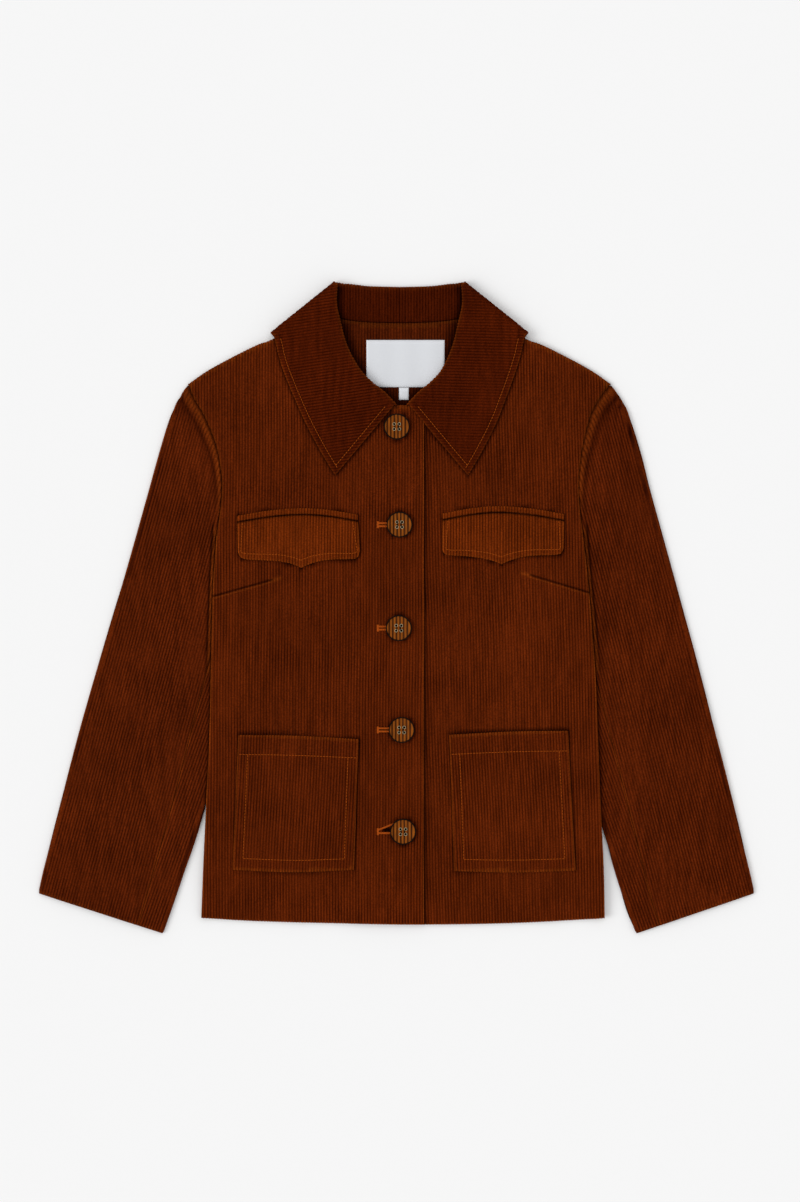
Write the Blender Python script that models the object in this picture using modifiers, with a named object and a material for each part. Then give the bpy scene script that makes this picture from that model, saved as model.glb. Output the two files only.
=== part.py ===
"""A corduroy jacket, buttoned and laid flat on its back, with its sleeves tucked under its sides.

Tables are in millimetres from the centre front (x, to the wearer's left) and the hem (y, up to the
neck), with z up from the surface that the jacket lies on. "right" and "left" are the wearer's.
The jacket is modelled layer by layer, from the surface up: the sleeves and the collar's back fall
lie lowest, the back lies on them, the fronts lie on the back, and the collar and the pockets lie on
the fronts. A layer's height is a function of x and y, so a piece that lies on another one is made
from the other one's height, moved out.
"""

import math

import bmesh
import bpy
import numpy as np
from mathutils import Vector
from mathutils.bvhtree import BVHTree
from mathutils.geometry import delaunay_2d_cdt

MM = 0.001
TINY = 1e-9
BOX_MIDDLE = np.array([-3.3, 326.7])  # the middle of the finished jacket, which is the origin

# The cloth and the gaps between its layers
LATTICE = 20.0  # the mesh of the body's panels
LATTICE_CLEAR = 8.0  # its points stay this far inside a panel's edge
OUTLINE_STEP = 22.0  # between the points of a panel's long edges
HEM_POINTS = {"front": 12, "back": 22}
CLOTH = 1.8  # corduroy, pile included
COLLAR_CLOTH = 2.2  # two plies, pressed together
FACING_CLOTH = 1.2
LABEL_CLOTH = 1.0
LAP = 0.7  # between the two fronts where they lap
SEAM = 0.3  # between two pieces that are sewn together
LIE = 0.4  # between a piece and the one that it lies on
NECK_SEAM = 1.4  # the neckline's seam allowance, which the collar's fall covers
ARMHOLE_SEAM = 0.45  # between the body and the sleeve, measured straight across

# The air between the back and the fronts, each with the distance over which it comes in
LOFT, LOFT_REACH = 2.3, 30.0  # from the side and shoulder seams inwards
HEM_GAP, HEM_REACH = 0.6, 60.0
ARMHOLE_GAP, ARMHOLE_REACH = 1.4, 25.0
NECK_GAP, NECK_REACH = 3.9, 75.0  # over the facing and the label
NECK_ZONE = [(-95, 532), (95, 532), (138, 600), (138, 672), (-138, 672), (-138, 600)]
SEAM_REACH = 13.0  # from a seam to the hem's or the neck's gap
CLOSING_WIDTH, CLOSING_REACH = 40.0, 45.0  # the buttoned centre lies flatter
LOFT_AT_CLOSING = 0.3  # a share of the loft
LOFT_ON_SLEEVE = 0.35  # the same, where the body lies on a sleeve

# The sleeve, pressed flat
SLEEVE_WIDTH = 150.0
SLEEVE_FOLD = 4.4  # its height at its folded edges
SLEEVE_CLOSED = 2 * CLOTH + SEAM  # and where its two layers meet under the body
SLEEVE_LOFT = 1.5  # more than that in the middle
LOFT_FROM_OUTER, LOFT_FROM_INNER = 0.22, 0.30  # shares of the width from each fold to full loft
CLOSED_REACH = 30.0  # from the closed end of the sleeve, under the body, to its full height
SLEEVE_LIFT = 6.5  # how high it carries the body that lies on it
SLEEVE_MARGIN = 8.0
SLEEVE_RAMP = 42.0  # from there the back comes down to the surface over this distance
FOREARM_SEAM = 0.80  # its share of the way across the sleeve, from the outer edge
HINDARM_CORNER = 2  # the armhole's corner that the other seam starts from, down from the shoulder point
BEYOND_SLEEVES = 420.0

# The collar, folded over at its roll line
HAIRPIN = 5.1  # stand and fall together
COLLAR_LIFT = 2.6  # how high the back fall carries the back
COLLAR_MARGIN = 6.0
COLLAR_RAMP = 60.0
COLLAR_CLEAR = 1.3  # under the fall, over the fronts
COLLAR_SHADOW = [(67.5, 669.0), (135.0, 615.3), (112.0, 608.0), (80.0, 604.5), (42.0, 602.5)]
FALL_SHARES = (0.25, 0.5, 0.75, 1.0)  # the places down the fall that get a point

# The front closing
BUTTON_STAND = 25.7  # each front runs this far past the centre front
CLOSING_NECK = [(-BUTTON_STAND, 541.0), (0.0, 541.6)]  # the neckline over the button stand
LAP_START, LAP_FULL = -72.0, -31.0  # where the right front climbs onto the left one
LAP_END = 20.0  # past its edge, the collar comes down from it over this distance
BUTTON_RADIUS = 13.5
BUTTON_PROFILE = [  # radius, height: from the middle of the face, over the rim, to the underside
    (0.0, 2.8),
    (9.9, 2.8),
    (11.1, 4.0),
    (12.6, 4.0),
    (BUTTON_RADIUS, 3.0),
    (BUTTON_RADIUS, 1.2),
    (11.5, 0.0),
    (0.0, 0.0),
]
BUTTON_SIDES = 22
HOLE_RADIUS = 1.1
HOLE_SIDES = 6
HOLE_SPACING = 4.7
DRILL_LENGTH = 20.0
BUTTONS = [  # x, y: down the centre front
    (-2.9, 517.6),
    (0.0, 415.0),
    (-0.8, 306.6),
    (2.2, 199.9),
    (3.7, 93.3),
]

SIDE_SEAM = [  # y, x of the right side, x of the left side
    (2.4, -207.9, 215.1),
    (55.0, -205.8, 214.0),
    (122.0, -202.7, 210.8),
    (195.0, -199.2, 207.9),
    (265.0, -197.6, 204.8),
    (345.0, -195.6, 198.5),
    (405.0, -191.5, 192.2),
]
ARMHOLE = [  # the same for the armhole, up to the shoulder point; the pieces have a row or a column at each
    (405.0, -191.5, 192.2),
    (430.0, -187.9, 189.2),
    (456.0, -186.4, 188.0),
    (480.0, -188.6, 189.6),
    (502.0, -193.7, 193.3),
    (530.0, -205.3, 200.7),
    (548.0, -216.0, 210.2),
    (562.4, -222.1, 221.9),
]
SHOULDER = [(222.0, 562.4), (200.0, 577.6), (167.5, 595.0), (146.5, 604.9), (133.5, 609.6), (88.5, 634.0)]
HEM = [(-208.0, 2.4), (-150.0, -1.0), (-60.0, -3.4), (25.0, -4.6), (120.0, -3.0), (215.1, 2.0)]
UNDERARM = 405.0

SLEEVE_OUTER = [  # y, x of the right sleeve's folded edge, x of the left one's
    (561.5, -223.0, 222.8),
    (535.5, -237.8, 238.9),
    (493.5, -251.5, 252.5),
    (451.5, -263.2, 263.4),
    (388.5, -280.9, 280.7),
    (325.5, -299.6, 297.9),
    (262.5, -317.9, 315.0),
    (199.5, -335.9, 331.3),
    (136.5, -352.4, 347.0),
    (73.5, -368.9, 362.6),
    (28.4, -379.2, 372.6),
]
SLEEVE_INNER = [  # the same for the edge by the body, from its hidden corner down to the cuff
    (338.0, -140.0, 142.0),
    (215.0, -175.6, 178.0),
    (94.5, -210.8, 213.4),
    (52.5, -225.0, 225.4),
    (10.5, -239.0, 238.0),
    (-14.0, -248.0, 248.2),
]

# The collar's sections, from the centre back round to the centre front, for the left half:
# place, neck seam x, y, roll line x, y, outer edge x, y
NECK_STATIONS = [
    ("centre back", 0.0, 627.0, 0.0, 664.7, 0.0, 602.0),
    ("back", 36.0, 628.0, 32.0, 665.6, 61.0, 603.2),
    ("back", 64.0, 631.5, 56.0, 667.4, 108.0, 607.4),
]
NECK_WRAP = ("side", 81.0, 634.5, 63.5, 663.4, 131.5, 611.4)
FRONT_STATIONS = [
    ("front", 84.0, 622.0, 65.4, 647.0, 129.0, 602.5),
    ("front", 81.5, 607.0, 61.2, 627.0, 126.6, 591.0),
    ("front", 75.0, 591.0, 57.0, 609.5, 120.6, 572.5),
    ("front", 66.0, 576.0, 50.8, 593.0, 110.8, 547.0),
    ("front", 54.0, 562.5, 41.0, 576.0, 99.4, 520.0),
    ("front", 39.0, 553.5, 30.0, 564.5, 85.2, 492.6),
    ("front", 25.5, 548.0, 19.0, 555.0, 74.0, 475.5),
    ("front end", 13.5, 544.5, 9.3, 545.6, 68.3, 467.6),
]
LEAN_FROM = 600.0
COLLAR_LEAN = 3.4  # its front ends lie this far towards the wearer's left
WRAP_STEPS = 6
WRAP_REST = (92.0, 618.0)  # the fall stays as high as it is here, all round the shoulder's end
SHOULDER_PULL, PULL_FROM, PULL_OVER = 24.0, 585.0, 30.0  # and about as high over the shoulder seam
PULL_PLACES = 4

FACING_HALF_WIDTH = 72.0
FACING_FOOT = 525.0
FACING_FLARE, FACING_BOW = 4.0, 8.0  # its lower corners are this much further out, and higher
FACING_SET_BACK = 0.2  # from the neckline
FACING_NECK_POINTS = 9
LABEL = (-34.7, 47.3, 559.3, 608.6)  # lowest and highest x, lowest and highest y
SIZE_TAB = (-0.5, 9.6, 546.0, 558.9)

PATCH_POCKETS = {  # top curve, foot curve
    "right": (
        [(-168.6, 194.8), (-106.0, 193.8), (-42.9, 190.3)],
        [(-175.1, 53.1), (-110.0, 50.6), (-47.8, 53.0)],
    ),
    "left": (
        [(52.2, 194.8), (114.0, 198.2), (176.4, 199.3)],
        [(57.3, 51.7), (121.0, 50.4), (184.5, 52.3)],
    ),
}
POCKET_MESH = (10, 9)  # columns, rows
FLAP_MESH = (17, 5)
WELT_MESH = (11, 3)
POCKET_MOUTH_LIFT, POCKET_MOUTH_SHARE = 1.0, 0.25  # off the front, over this share of its height
FLAPS = {  # the flap's top curve, and its foot with the point in the middle
    "right": (
        [(-170.2, 417.4), (-136.0, 423.0), (-102.9, 425.4), (-74.0, 423.6), (-43.6, 418.6)],
        [(-169.0, 386.5), (-160.5, 379.2), (-140.0, 377.6), (-119.0, 375.4), (-102.9, 370.2),
         (-87.8, 375.2), (-64.0, 377.9), (-49.0, 379.6), (-41.4, 387.5)],
    ),
    "left": (
        [(45.3, 419.8), (76.0, 425.4), (105.5, 427.6), (140.0, 424.8), (172.5, 419.2)],
        [(45.0, 388.6), (52.8, 383.3), (73.0, 382.4), (92.0, 380.2), (107.1, 373.9),
         (122.5, 380.0), (142.0, 382.8), (164.0, 383.9), (171.6, 390.4)],
    ),
}
WELT_HEIGHT = 7.0
WELT_CLOTH = 2.4
WELT_GAP = 0.5  # over the flap
FLAP_LIFT, FLAP_LIFT_SHARE = 0.9, 0.6  # the same at its foot

FOLD_FADE = 0.3  # a share of its length, half of it past each end
FOLDS = [  # soft ridges (+) and troughs (-): layer, start x, y, end x, y, height, half-width
    ("right_sleeve", -232.0, 500.0, -262.0, 372.0, -0.9, 15.0),
    ("right_sleeve", -206.0, 398.0, -214.0, 290.0, 1.3, 7.0),
    ("right_sleeve", -318.0, 205.0, -262.0, 168.0, -0.7, 8.0),
    ("right_sleeve", -330.0, 150.0, -276.0, 120.0, -0.8, 9.0),
    ("right_sleeve", -342.0, 70.0, -292.0, 58.0, -0.6, 9.0),
    ("right_sleeve", -240.0, 92.0, -262.0, 36.0, 0.7, 10.0),
    ("left_sleeve", 240.0, 505.0, 277.0, 330.0, 1.0, 12.0),
    ("left_sleeve", 205.0, 425.0, 214.0, 300.0, 1.3, 7.0),
    ("left_sleeve", 256.0, 470.0, 262.0, 400.0, -0.6, 12.0),
    ("left_sleeve", 262.0, 196.0, 300.0, 170.0, -0.7, 8.0),
    ("left_sleeve", 272.0, 112.0, 318.0, 92.0, -0.7, 9.0),
    ("left_sleeve", 250.0, 52.0, 272.0, 30.0, 0.7, 10.0),
    ("fronts", -160.0, 470.0, -118.0, 545.0, -0.6, 16.0),
    ("fronts", 150.0, 470.0, 112.0, 540.0, -0.6, 16.0),
    ("fronts", -150.0, 360.0, -96.0, 240.0, -0.6, 20.0),
    ("fronts", 148.0, 352.0, 96.0, 236.0, -0.6, 20.0),
    ("fronts", -112.0, 36.0, -104.0, -6.0, 0.7, 14.0),
    ("fronts", 150.0, 34.0, 160.0, -6.0, 0.8, 16.0),
    ("fronts", -18.0, 60.0, -14.0, -6.0, 0.5, 14.0),
]

CORDUROY = ("corduroy", (0.150, 0.036, 0.009, 1.0), 0.85)
SATIN = ("label_satin", (0.72, 0.74, 0.78, 1.0), 0.55)
RESIN = ("button_resin", (0.240, 0.085, 0.020, 1.0), 0.40)


# Curves and distances


def smooth(share):
    """0 below 0, 1 above 1, with an even rise between."""
    share = np.clip(share, 0.0, 1.0)
    return share * share * (3.0 - 2.0 * share)


def curve_through(points, steps=10):
    """A smooth line through the points, as many short straight ones."""
    p = np.array(points, float)
    p = np.vstack([2 * p[0] - p[1], p, 2 * p[-1] - p[-2]])
    made = []
    for i in range(1, len(p) - 2):
        for t in np.arange(steps) / steps:
            a = 2 * p[i]
            b = (p[i + 1] - p[i - 1]) * t
            c = (2 * p[i - 1] - 5 * p[i] + 4 * p[i + 1] - p[i + 2]) * t**2
            d = (3 * p[i] - p[i - 1] - 3 * p[i + 1] + p[i + 2]) * t**3
            made.append((a + b + c + d) / 2)
    return np.array(made + [p[-2]])


def along(line, shares):
    """The points at these shares of the line's length."""
    steps = np.linalg.norm(np.diff(line, axis=0), axis=1)
    length = np.concatenate([[0.0], np.cumsum(steps)])
    at = np.asarray(shares) * length[-1]
    return np.stack([np.interp(at, length, line[:, k]) for k in range(2)], axis=-1)


def evenly(line, step):
    """The line again, with points about this far apart."""
    length = np.linalg.norm(np.diff(line, axis=0), axis=1).sum()
    return along(line, np.linspace(0, 1, int(round(length / step)) + 1))


def shares_of(line):
    """Each corner's share of the line's length."""
    length = np.concatenate([[0.0], np.cumsum(np.linalg.norm(np.diff(line, axis=0), axis=1))])
    return length / length[-1]


def distance_to(points, line):
    """How far each point is from an open line."""
    best = np.full(points.shape[:-1], np.inf)
    for a, b in zip(line[:-1], line[1:]):
        step = b - a
        share = np.clip(((points - a) @ step) / max(step @ step, TINY), 0.0, 1.0)
        best = np.minimum(best, np.linalg.norm(points - a - share[..., None] * step, axis=-1))
    return best


def inside(points, corners):
    """Whether each point is inside a polygon."""
    ring = np.array([*corners, corners[0]], float)
    made = np.zeros(points.shape[:-1], bool)
    for a, b in zip(ring[:-1], ring[1:]):
        crosses = (a[1] > points[..., 1]) != (b[1] > points[..., 1])
        rise = b[1] - a[1] if abs(b[1] - a[1]) > TINY else TINY
        made ^= crosses & (points[..., 0] < a[0] + (points[..., 1] - a[1]) / rise * (b[0] - a[0]))
    return made


def outside(points, corners):
    """How far each point is outside a polygon, and 0 inside it."""
    ring = np.array([*corners, corners[0]], float)
    return np.where(inside(points, corners), 0.0, distance_to(points, ring))


def patch(foot, top, near, far, across, up):
    """Points between four boundary lines: foot and top run near to far, near and far run foot to top."""
    u, v = np.meshgrid(across, up)
    u, v = u[..., None], v[..., None]
    corners = (1 - u) * (1 - v) * foot[0] + u * (1 - v) * foot[-1] + (1 - u) * v * top[0] + u * v * top[-1]
    rows = (1 - v) * along(foot, across)[None] + v * along(top, across)[None]
    columns = (1 - u) * along(near, up)[:, None] + u * along(far, up)[:, None]
    return rows + columns - corners


# The outlines


def side_column(table, side):
    return [(row[1] if side == "right" else row[2], row[0]) for row in table]


def mirrored(points, side):
    sign = -1 if side == "right" else 1
    return [(sign * x, y) for x, y in points]


def side_line(side):
    """From the hem up the side seam and the armhole to the shoulder point."""
    return np.vstack([evenly(seam_of(side), OUTLINE_STEP), np.array(side_column(ARMHOLE, side))[1:]])


def seam_of(side):
    return curve_through(side_column(SIDE_SEAM, side))


def shoulder_line(side):
    """From the shoulder point to the neck."""
    return np.array(mirrored(SHOULDER, side))


def station_points(station, side):
    """A collar section's neck seam, roll and outer edge, in plan."""
    sign = -1 if side == "right" else 1
    lean = COLLAR_LEAN * smooth((LEAN_FROM - station[2]) / (LEAN_FROM - FRONT_STATIONS[-1][2]))
    return [np.array([sign * station[i] + lean, station[i + 1]]) for i in (1, 3, 5)]


def neck_edge(stations, side):
    """The neckline along these stations, clear of the collar's stand."""
    made = []
    for station in stations:
        neck, roll, _ = station_points(station, side)
        way = neck - roll
        made.append(neck + way / np.linalg.norm(way) * NECK_SEAM)
    return made


def front_neckline(side):
    """From the front's own edge, past the centre, round to the neck end of the shoulder."""
    own = mirrored(CLOSING_NECK, side)
    return np.array([*own, *reversed(neck_edge(FRONT_STATIONS, side)), *mirrored(SHOULDER[-1:], side)])


def back_neckline():
    """From the right shoulder's neck end to the left one's."""
    half = [*neck_edge([*NECK_STATIONS, NECK_WRAP], "left"), SHOULDER[-1]]
    return np.array([*reversed(mirrored(half[1:], "right")), *half])


# The layers' heights


def sleeve_shadow(side):
    """The ground that the sleeve takes under the body and beside it."""
    inner = side_column(SLEEVE_INNER, side)
    beyond = mirrored([(BEYOND_SLEEVES, inner[-1][1]), (BEYOND_SLEEVES, UNDERARM)], side)
    return [side_column(ARMHOLE, side)[0], *inner, *beyond]


def collar_shadow():
    """The ground that the collar's back fall takes."""
    return [*COLLAR_SHADOW, *reversed(mirrored(COLLAR_SHADOW, "right"))]


def fold_height(points, layer):
    """The soft ridges and troughs, each fading to its ends and to its sides."""
    total = np.zeros(points.shape[:-1])
    for name, x0, y0, x1, y1, height, half_width in FOLDS:
        if name != layer:
            continue
        start, way = np.array([x0, y0]), np.array([x1 - x0, y1 - y0])
        share = ((points - start) @ way) / (way @ way)
        off = np.linalg.norm(points - start - np.clip(share, 0, 1)[..., None] * way, axis=-1)
        fade = smooth(np.minimum(share, 1 - share) / FOLD_FADE + 0.5)
        total += height * fade * np.exp(-((off / half_width) ** 2))
    return total


def back_under(points):
    """The underside of the back: flat on the surface, and carried by the sleeves and the collar's fall."""
    lift = np.zeros(points.shape[:-1])
    for side in ("right", "left"):
        off = outside(points, sleeve_shadow(side)) - SLEEVE_MARGIN
        lift = np.maximum(lift, SLEEVE_LIFT * smooth(1 - off / SLEEVE_RAMP))
    off = outside(points, collar_shadow()) - COLLAR_MARGIN
    return np.maximum(lift, COLLAR_LIFT * smooth(1 - off / COLLAR_RAMP))


def body_gap(points):
    """The room between the back and the fronts, which close on each other at the side and shoulder seams."""
    x, y = points[..., 0], points[..., 1]
    edge = np.full(points.shape[:-1], np.inf)
    for side in ("right", "left"):
        edge = np.minimum(edge, distance_to(points, seam_of(side)[::3]))
        edge = np.minimum(edge, distance_to(points, shoulder_line(side)))
    share = LOFT_AT_CLOSING + (1 - LOFT_AT_CLOSING) * smooth((np.abs(x) - CLOSING_WIDTH) / CLOSING_REACH)
    share = share * (1 - (1 - LOFT_ON_SLEEVE) * smooth(back_under(points) / SLEEVE_LIFT))
    loft = LOFT * share * smooth(edge / LOFT_REACH)
    by_seam = smooth(edge / SEAM_REACH)
    loft = HEM_GAP + (loft - HEM_GAP) * smooth(y / HEM_REACH) * by_seam
    by_armhole = smooth((y - UNDERARM) / ARMHOLE_REACH) * smooth(edge / ARMHOLE_REACH)
    neck = NECK_GAP * smooth(1 - outside(points, NECK_ZONE) / NECK_REACH) * by_seam
    return np.maximum.reduce([loft, ARMHOLE_GAP * by_armhole, neck, np.full_like(loft, SEAM)])


def front_top(points, side):
    """The face of a front. The right front laps over the left one."""
    height = back_under(points) + CLOTH + body_gap(points) + CLOTH + fold_height(points, "fronts")
    if side == "right":
        height = height + lap_height(points)
    return height


def lap_height(points):
    return (CLOTH + LAP) * smooth((points[..., 0] - LAP_START) / (LAP_FULL - LAP_START))


def shown_top(points):
    """The face of the two fronts together, carried on smoothly past the right front's edge."""
    on_lap = smooth((BUTTON_STAND + LAP_END - points[..., 0]) / LAP_END)
    return front_top(points, "left") + lap_height(points) * on_lap


# Blender objects


def material(spec):
    name, colour, roughness = spec
    made = bpy.data.materials.get(name) or bpy.data.materials.new(name)
    made.use_nodes = True
    shader = made.node_tree.nodes["Principled BSDF"]
    shader.inputs["Base Color"].default_value = colour
    shader.inputs["Roughness"].default_value = roughness
    shader.inputs["Metallic"].default_value = 0.0
    return made


def new_object(name, mesh, spec):
    mesh.materials.append(material(spec))
    made = bpy.data.objects.new(name, mesh)
    bpy.data.collections["corduroy_jacket"].objects.link(made)
    return made


def in_row_frame(points):
    """Metres from the middle of the jacket."""
    made = np.array(points, float)
    made[..., :2] -= BOX_MIDDLE
    return made * MM


def panel(name, outline, height, thickness, faces_up=True):
    """A wall of cloth cut to an outline. height(points) is the height of its face."""
    low, high = outline.min(axis=0), outline.max(axis=0)
    xs, ys = (np.arange(math.ceil(a / LATTICE), b / LATTICE) * LATTICE for a, b in zip(low, high))
    lattice = np.stack(np.meshgrid(xs, ys), axis=-1).reshape(-1, 2)
    ring = np.vstack([outline, outline[:1]])
    lattice = lattice[inside(lattice, outline) & (distance_to(lattice, ring) > LATTICE_CLEAR)]
    count = len(outline)
    plan = [Vector(p) for p in np.vstack([outline, lattice])]
    edges = [(i, (i + 1) % count) for i in range(count)]
    places, _, faces, *_ = delaunay_2d_cdt(plan, edges, [], 1, 1e-4)
    places = np.array([p[:] for p in places])
    mesh = bpy.data.meshes.new(name)
    mesh.from_pydata(in_row_frame(with_height(places, height(places))).tolist(), [], faces)
    return walled(name, mesh, thickness, CORDUROY, faces_up)


def cloth(name, face, thickness, spec=CORDUROY, faces_up=True):
    """A wall of cloth behind a grid of points on its face. The points are rows of x, y, z."""
    rows, columns = face.shape[:2]
    bm = bmesh.new()
    bmesh.ops.create_grid(bm, x_segments=columns - 1, y_segments=rows - 1, size=1.0)
    bm.verts.ensure_lookup_table()
    for vertex, place in zip(bm.verts, in_row_frame(face).reshape(-1, 3)):
        vertex.co = place
    mesh = bpy.data.meshes.new(name)
    bm.to_mesh(mesh)
    bm.free()
    return walled(name, mesh, thickness, spec, faces_up)


def walled(name, mesh, thickness, spec, faces_up):
    """An object from the mesh of a face, with the cloth's thickness behind it."""
    if (sum(f.normal.z * f.area for f in mesh.polygons) > 0) != faces_up:
        mesh.flip_normals()
    made = new_object(name, mesh, spec)
    wall = made.modifiers.new("wall", "SOLIDIFY")
    wall.thickness = thickness * MM
    wall.offset = -1.0
    wall.use_even_offset = True
    return made


def top_of(panel, points):
    """The height of a finished panel's upper surface at each point, and 0 where it has none."""
    bpy.context.view_layer.update()
    tree = BVHTree.FromObject(panel, bpy.context.evaluated_depsgraph_get())
    heights = []
    for x, y, _ in in_row_frame(with_height(points, np.zeros(points.shape[:-1]))).reshape(-1, 3):
        hit = tree.ray_cast(Vector((x, y, 1.0)), Vector((0, 0, -1)))[0]
        heights.append(hit.z / MM if hit else 0.0)
    return np.array(heights).reshape(points.shape[:-1])


def with_height(points, height):
    return np.concatenate([points, height[..., None]], axis=-1)


# The body


def level_cut(line, x0, x1, count):
    """The stretch of a line from one x to another, at even steps of x."""
    xs = np.linspace(x0, x1, count)
    order = np.argsort(line[:, 0])
    return np.stack([xs, np.interp(xs, line[order, 0], line[order, 1])], axis=-1)


def body_front(side):
    sign = -1 if side == "right" else 1
    up_side = side_line(side)
    hem = level_cut(curve_through(HEM), -sign * BUTTON_STAND, up_side[0][0], HEM_POINTS["front"])
    neck = front_neckline(side)[::-1]
    front_edge = evenly(np.array([neck[-1], hem[0]]), OUTLINE_STEP)
    outline = np.vstack([hem[:-1], up_side[:-1], shoulder_line(side)[:-1], neck[:-1], front_edge[:-1]])
    return panel(f"front_{side}", outline, lambda at: front_top(at, side), CLOTH)


def body_back():
    """One piece from side to side, with its face down."""
    right, left = side_line("right"), side_line("left")
    hem = level_cut(curve_through(HEM), right[0][0], left[0][0], HEM_POINTS["back"])
    neck = back_neckline()
    over_top = [shoulder_line("left")[:-1], neck[::-1][:-1], shoulder_line("right")[::-1][:-1]]
    outline = np.vstack([hem[:-1], left[:-1], *over_top, right[::-1][:-1]])
    return panel("back", outline, back_under, CLOTH, faces_up=False)


# The sleeves

CUFF_TO_TOP = np.array([0.0, 0.06, *np.linspace(0.14, 0.94, 11), 0.975, 1.0])
FOLD_TURNS = [90, 60, 30, 0, -30, -60, -90]  # degrees round a folded edge, from its top to its underside


def sleeve_edges(side):
    """The sleeve's cuff, armhole and hidden corner, outer edge and inner edge, in plan."""
    sign = -1 if side == "right" else 1
    outer = curve_through(side_column(SLEEVE_OUTER, side))[::-1]
    inner = curve_through(side_column(SLEEVE_INNER, side))[::-1]
    armhole = np.array(side_column(ARMHOLE, side))[::-1] + [sign * ARMHOLE_SEAM, 0.0]
    armhole[0] = outer[-1]
    corner = np.array([armhole[-1], inner[-1]])
    return np.array([outer[0], inner[0]]), np.vstack([armhole, corner[1:]]), outer, inner, corner


def sleeve_points(side, stations):
    """The sleeve's face at stations round its ring.

    A station is ("top" or "under", share of the width from the outer fold), or ("outer" or "inner",
    degrees round that fold).
    """
    foot, top, outer, inner, corner = sleeve_edges(side)
    fold_share = SLEEVE_FOLD / 2 / SLEEVE_WIDTH
    columns = []
    for place, value in stations:
        share, turn = value, (90 if place == "top" else -90)
        if place in ("outer", "inner"):
            turn = value
            inset = fold_share * (1 - math.cos(math.radians(turn)))
            share = inset if place == "outer" else 1 - inset
        points = patch(foot, top, outer, inner, np.array([share]), CUFF_TO_TOP)[:, 0]
        closed = smooth(1 - distance_to(points, corner) / CLOSED_REACH) * (points[:, 1] < UNDERARM + 1)
        edge = SLEEVE_FOLD + (SLEEVE_CLOSED - SLEEVE_FOLD) * closed
        height = edge * (1 + math.sin(math.radians(turn))) / 2
        if place == "top":
            puff = SLEEVE_LOFT * smooth(min(share / LOFT_FROM_OUTER, (1 - share) / LOFT_FROM_INNER))
            folds = fold_height(points, f"{side}_sleeve") * smooth((1 - share) / LOFT_FROM_INNER)
            height = height + (puff + folds) * (1 - closed)
        columns.append(with_height(points, height))
    return np.stack(columns, axis=1)


def sleeve(side):
    """Two pieces: the top sleeve goes over the outer edge, the under sleeve over the inner one."""
    gap = SEAM / SLEEVE_WIDTH
    corners = list(shares_of(sleeve_edges(side)[1])[1:-1])
    hindarm = corners[HINDARM_CORNER]
    upper = [("top", share) for share in [FOREARM_SEAM - gap, *reversed(corners)]]
    upper += [("outer", turn) for turn in FOLD_TURNS]
    upper += [("under", share) for share in [*corners[:HINDARM_CORNER], hindarm - gap]]
    cloth(f"top_sleeve_{side}", sleeve_points(side, upper), CLOTH)
    by_inner_fold = (1 + FOREARM_SEAM) / 2
    lower = [("top", share) for share in (FOREARM_SEAM, by_inner_fold)]
    lower += [("inner", turn) for turn in FOLD_TURNS]
    under = [by_inner_fold, FOREARM_SEAM, *reversed(corners[HINDARM_CORNER:])]
    lower += [("under", share) for share in under]
    cloth(f"under_sleeve_{side}", sleeve_points(side, lower), CLOTH, faces_up=False)


# The collar


def wrap_direction(sign):
    """Straight out over the shoulder's end, square to the fold that goes round it."""
    _, _, _, roll_x, roll_y, edge_x, edge_y = NECK_WRAP
    length = math.hypot(edge_x - roll_x, edge_y - roll_y)
    return np.array([sign * (roll_y - edge_y), edge_x - roll_x]) / length


def collar_section(station, side, turn, rest):
    """The face of the collar at one station, from the neck seam over the roll to the outer edge.

    turn is -90 where the fall lies under the back, 90 where it lies on the front, and between them
    where it goes round the end of the shoulder. rest(points) is the height that it lies on.
    """
    sign = -1 if side == "right" else 1
    neck, roll, edge = station_points(station, side)
    half = HAIRPIN / 2
    outward = wrap_direction(sign)
    tilt = math.radians(turn)
    low = half
    high = rest(np.array([sign * WRAP_REST[0], WRAP_REST[1]])) + COLLAR_CLEAR - half + COLLAR_CLOTH
    radius = (high - low) / 2
    push = outward * radius * math.cos(tilt)
    normal = np.array([*(outward * math.cos(tilt)), math.sin(tilt)])
    stand = roll - neck
    stand = stand / np.linalg.norm(stand)

    start = roll - stand * half
    lie = COLLAR_CLEAR - half + COLLAR_CLOTH
    if station[0] == "side":
        heights = [low + radius * (1 + math.sin(tilt))] * len(FALL_SHARES)
    elif turn < 0:
        heights = [low] * len(FALL_SHARES)
    else:
        heights = [rest(start + (edge - start) * share) + lie for share in FALL_SHARES]

    def centre(place, height):
        return np.array([*(place + push), height])

    face = [centre(neck + (start - neck) * share, heights[0]) - normal * half for share in (0.0, 0.5)]
    for degrees in (-90, -45, 0, 45, 90):
        swing = math.radians(degrees)
        round_it = math.cos(swing) * np.array([*stand, 0]) + math.sin(swing) * normal
        face.append(centre(start, heights[0]) + half * round_it)
    for share, height in zip(FALL_SHARES, heights):
        face.append(centre(start + (edge - start) * share, height) + normal * half)
    return np.array(face)


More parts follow.
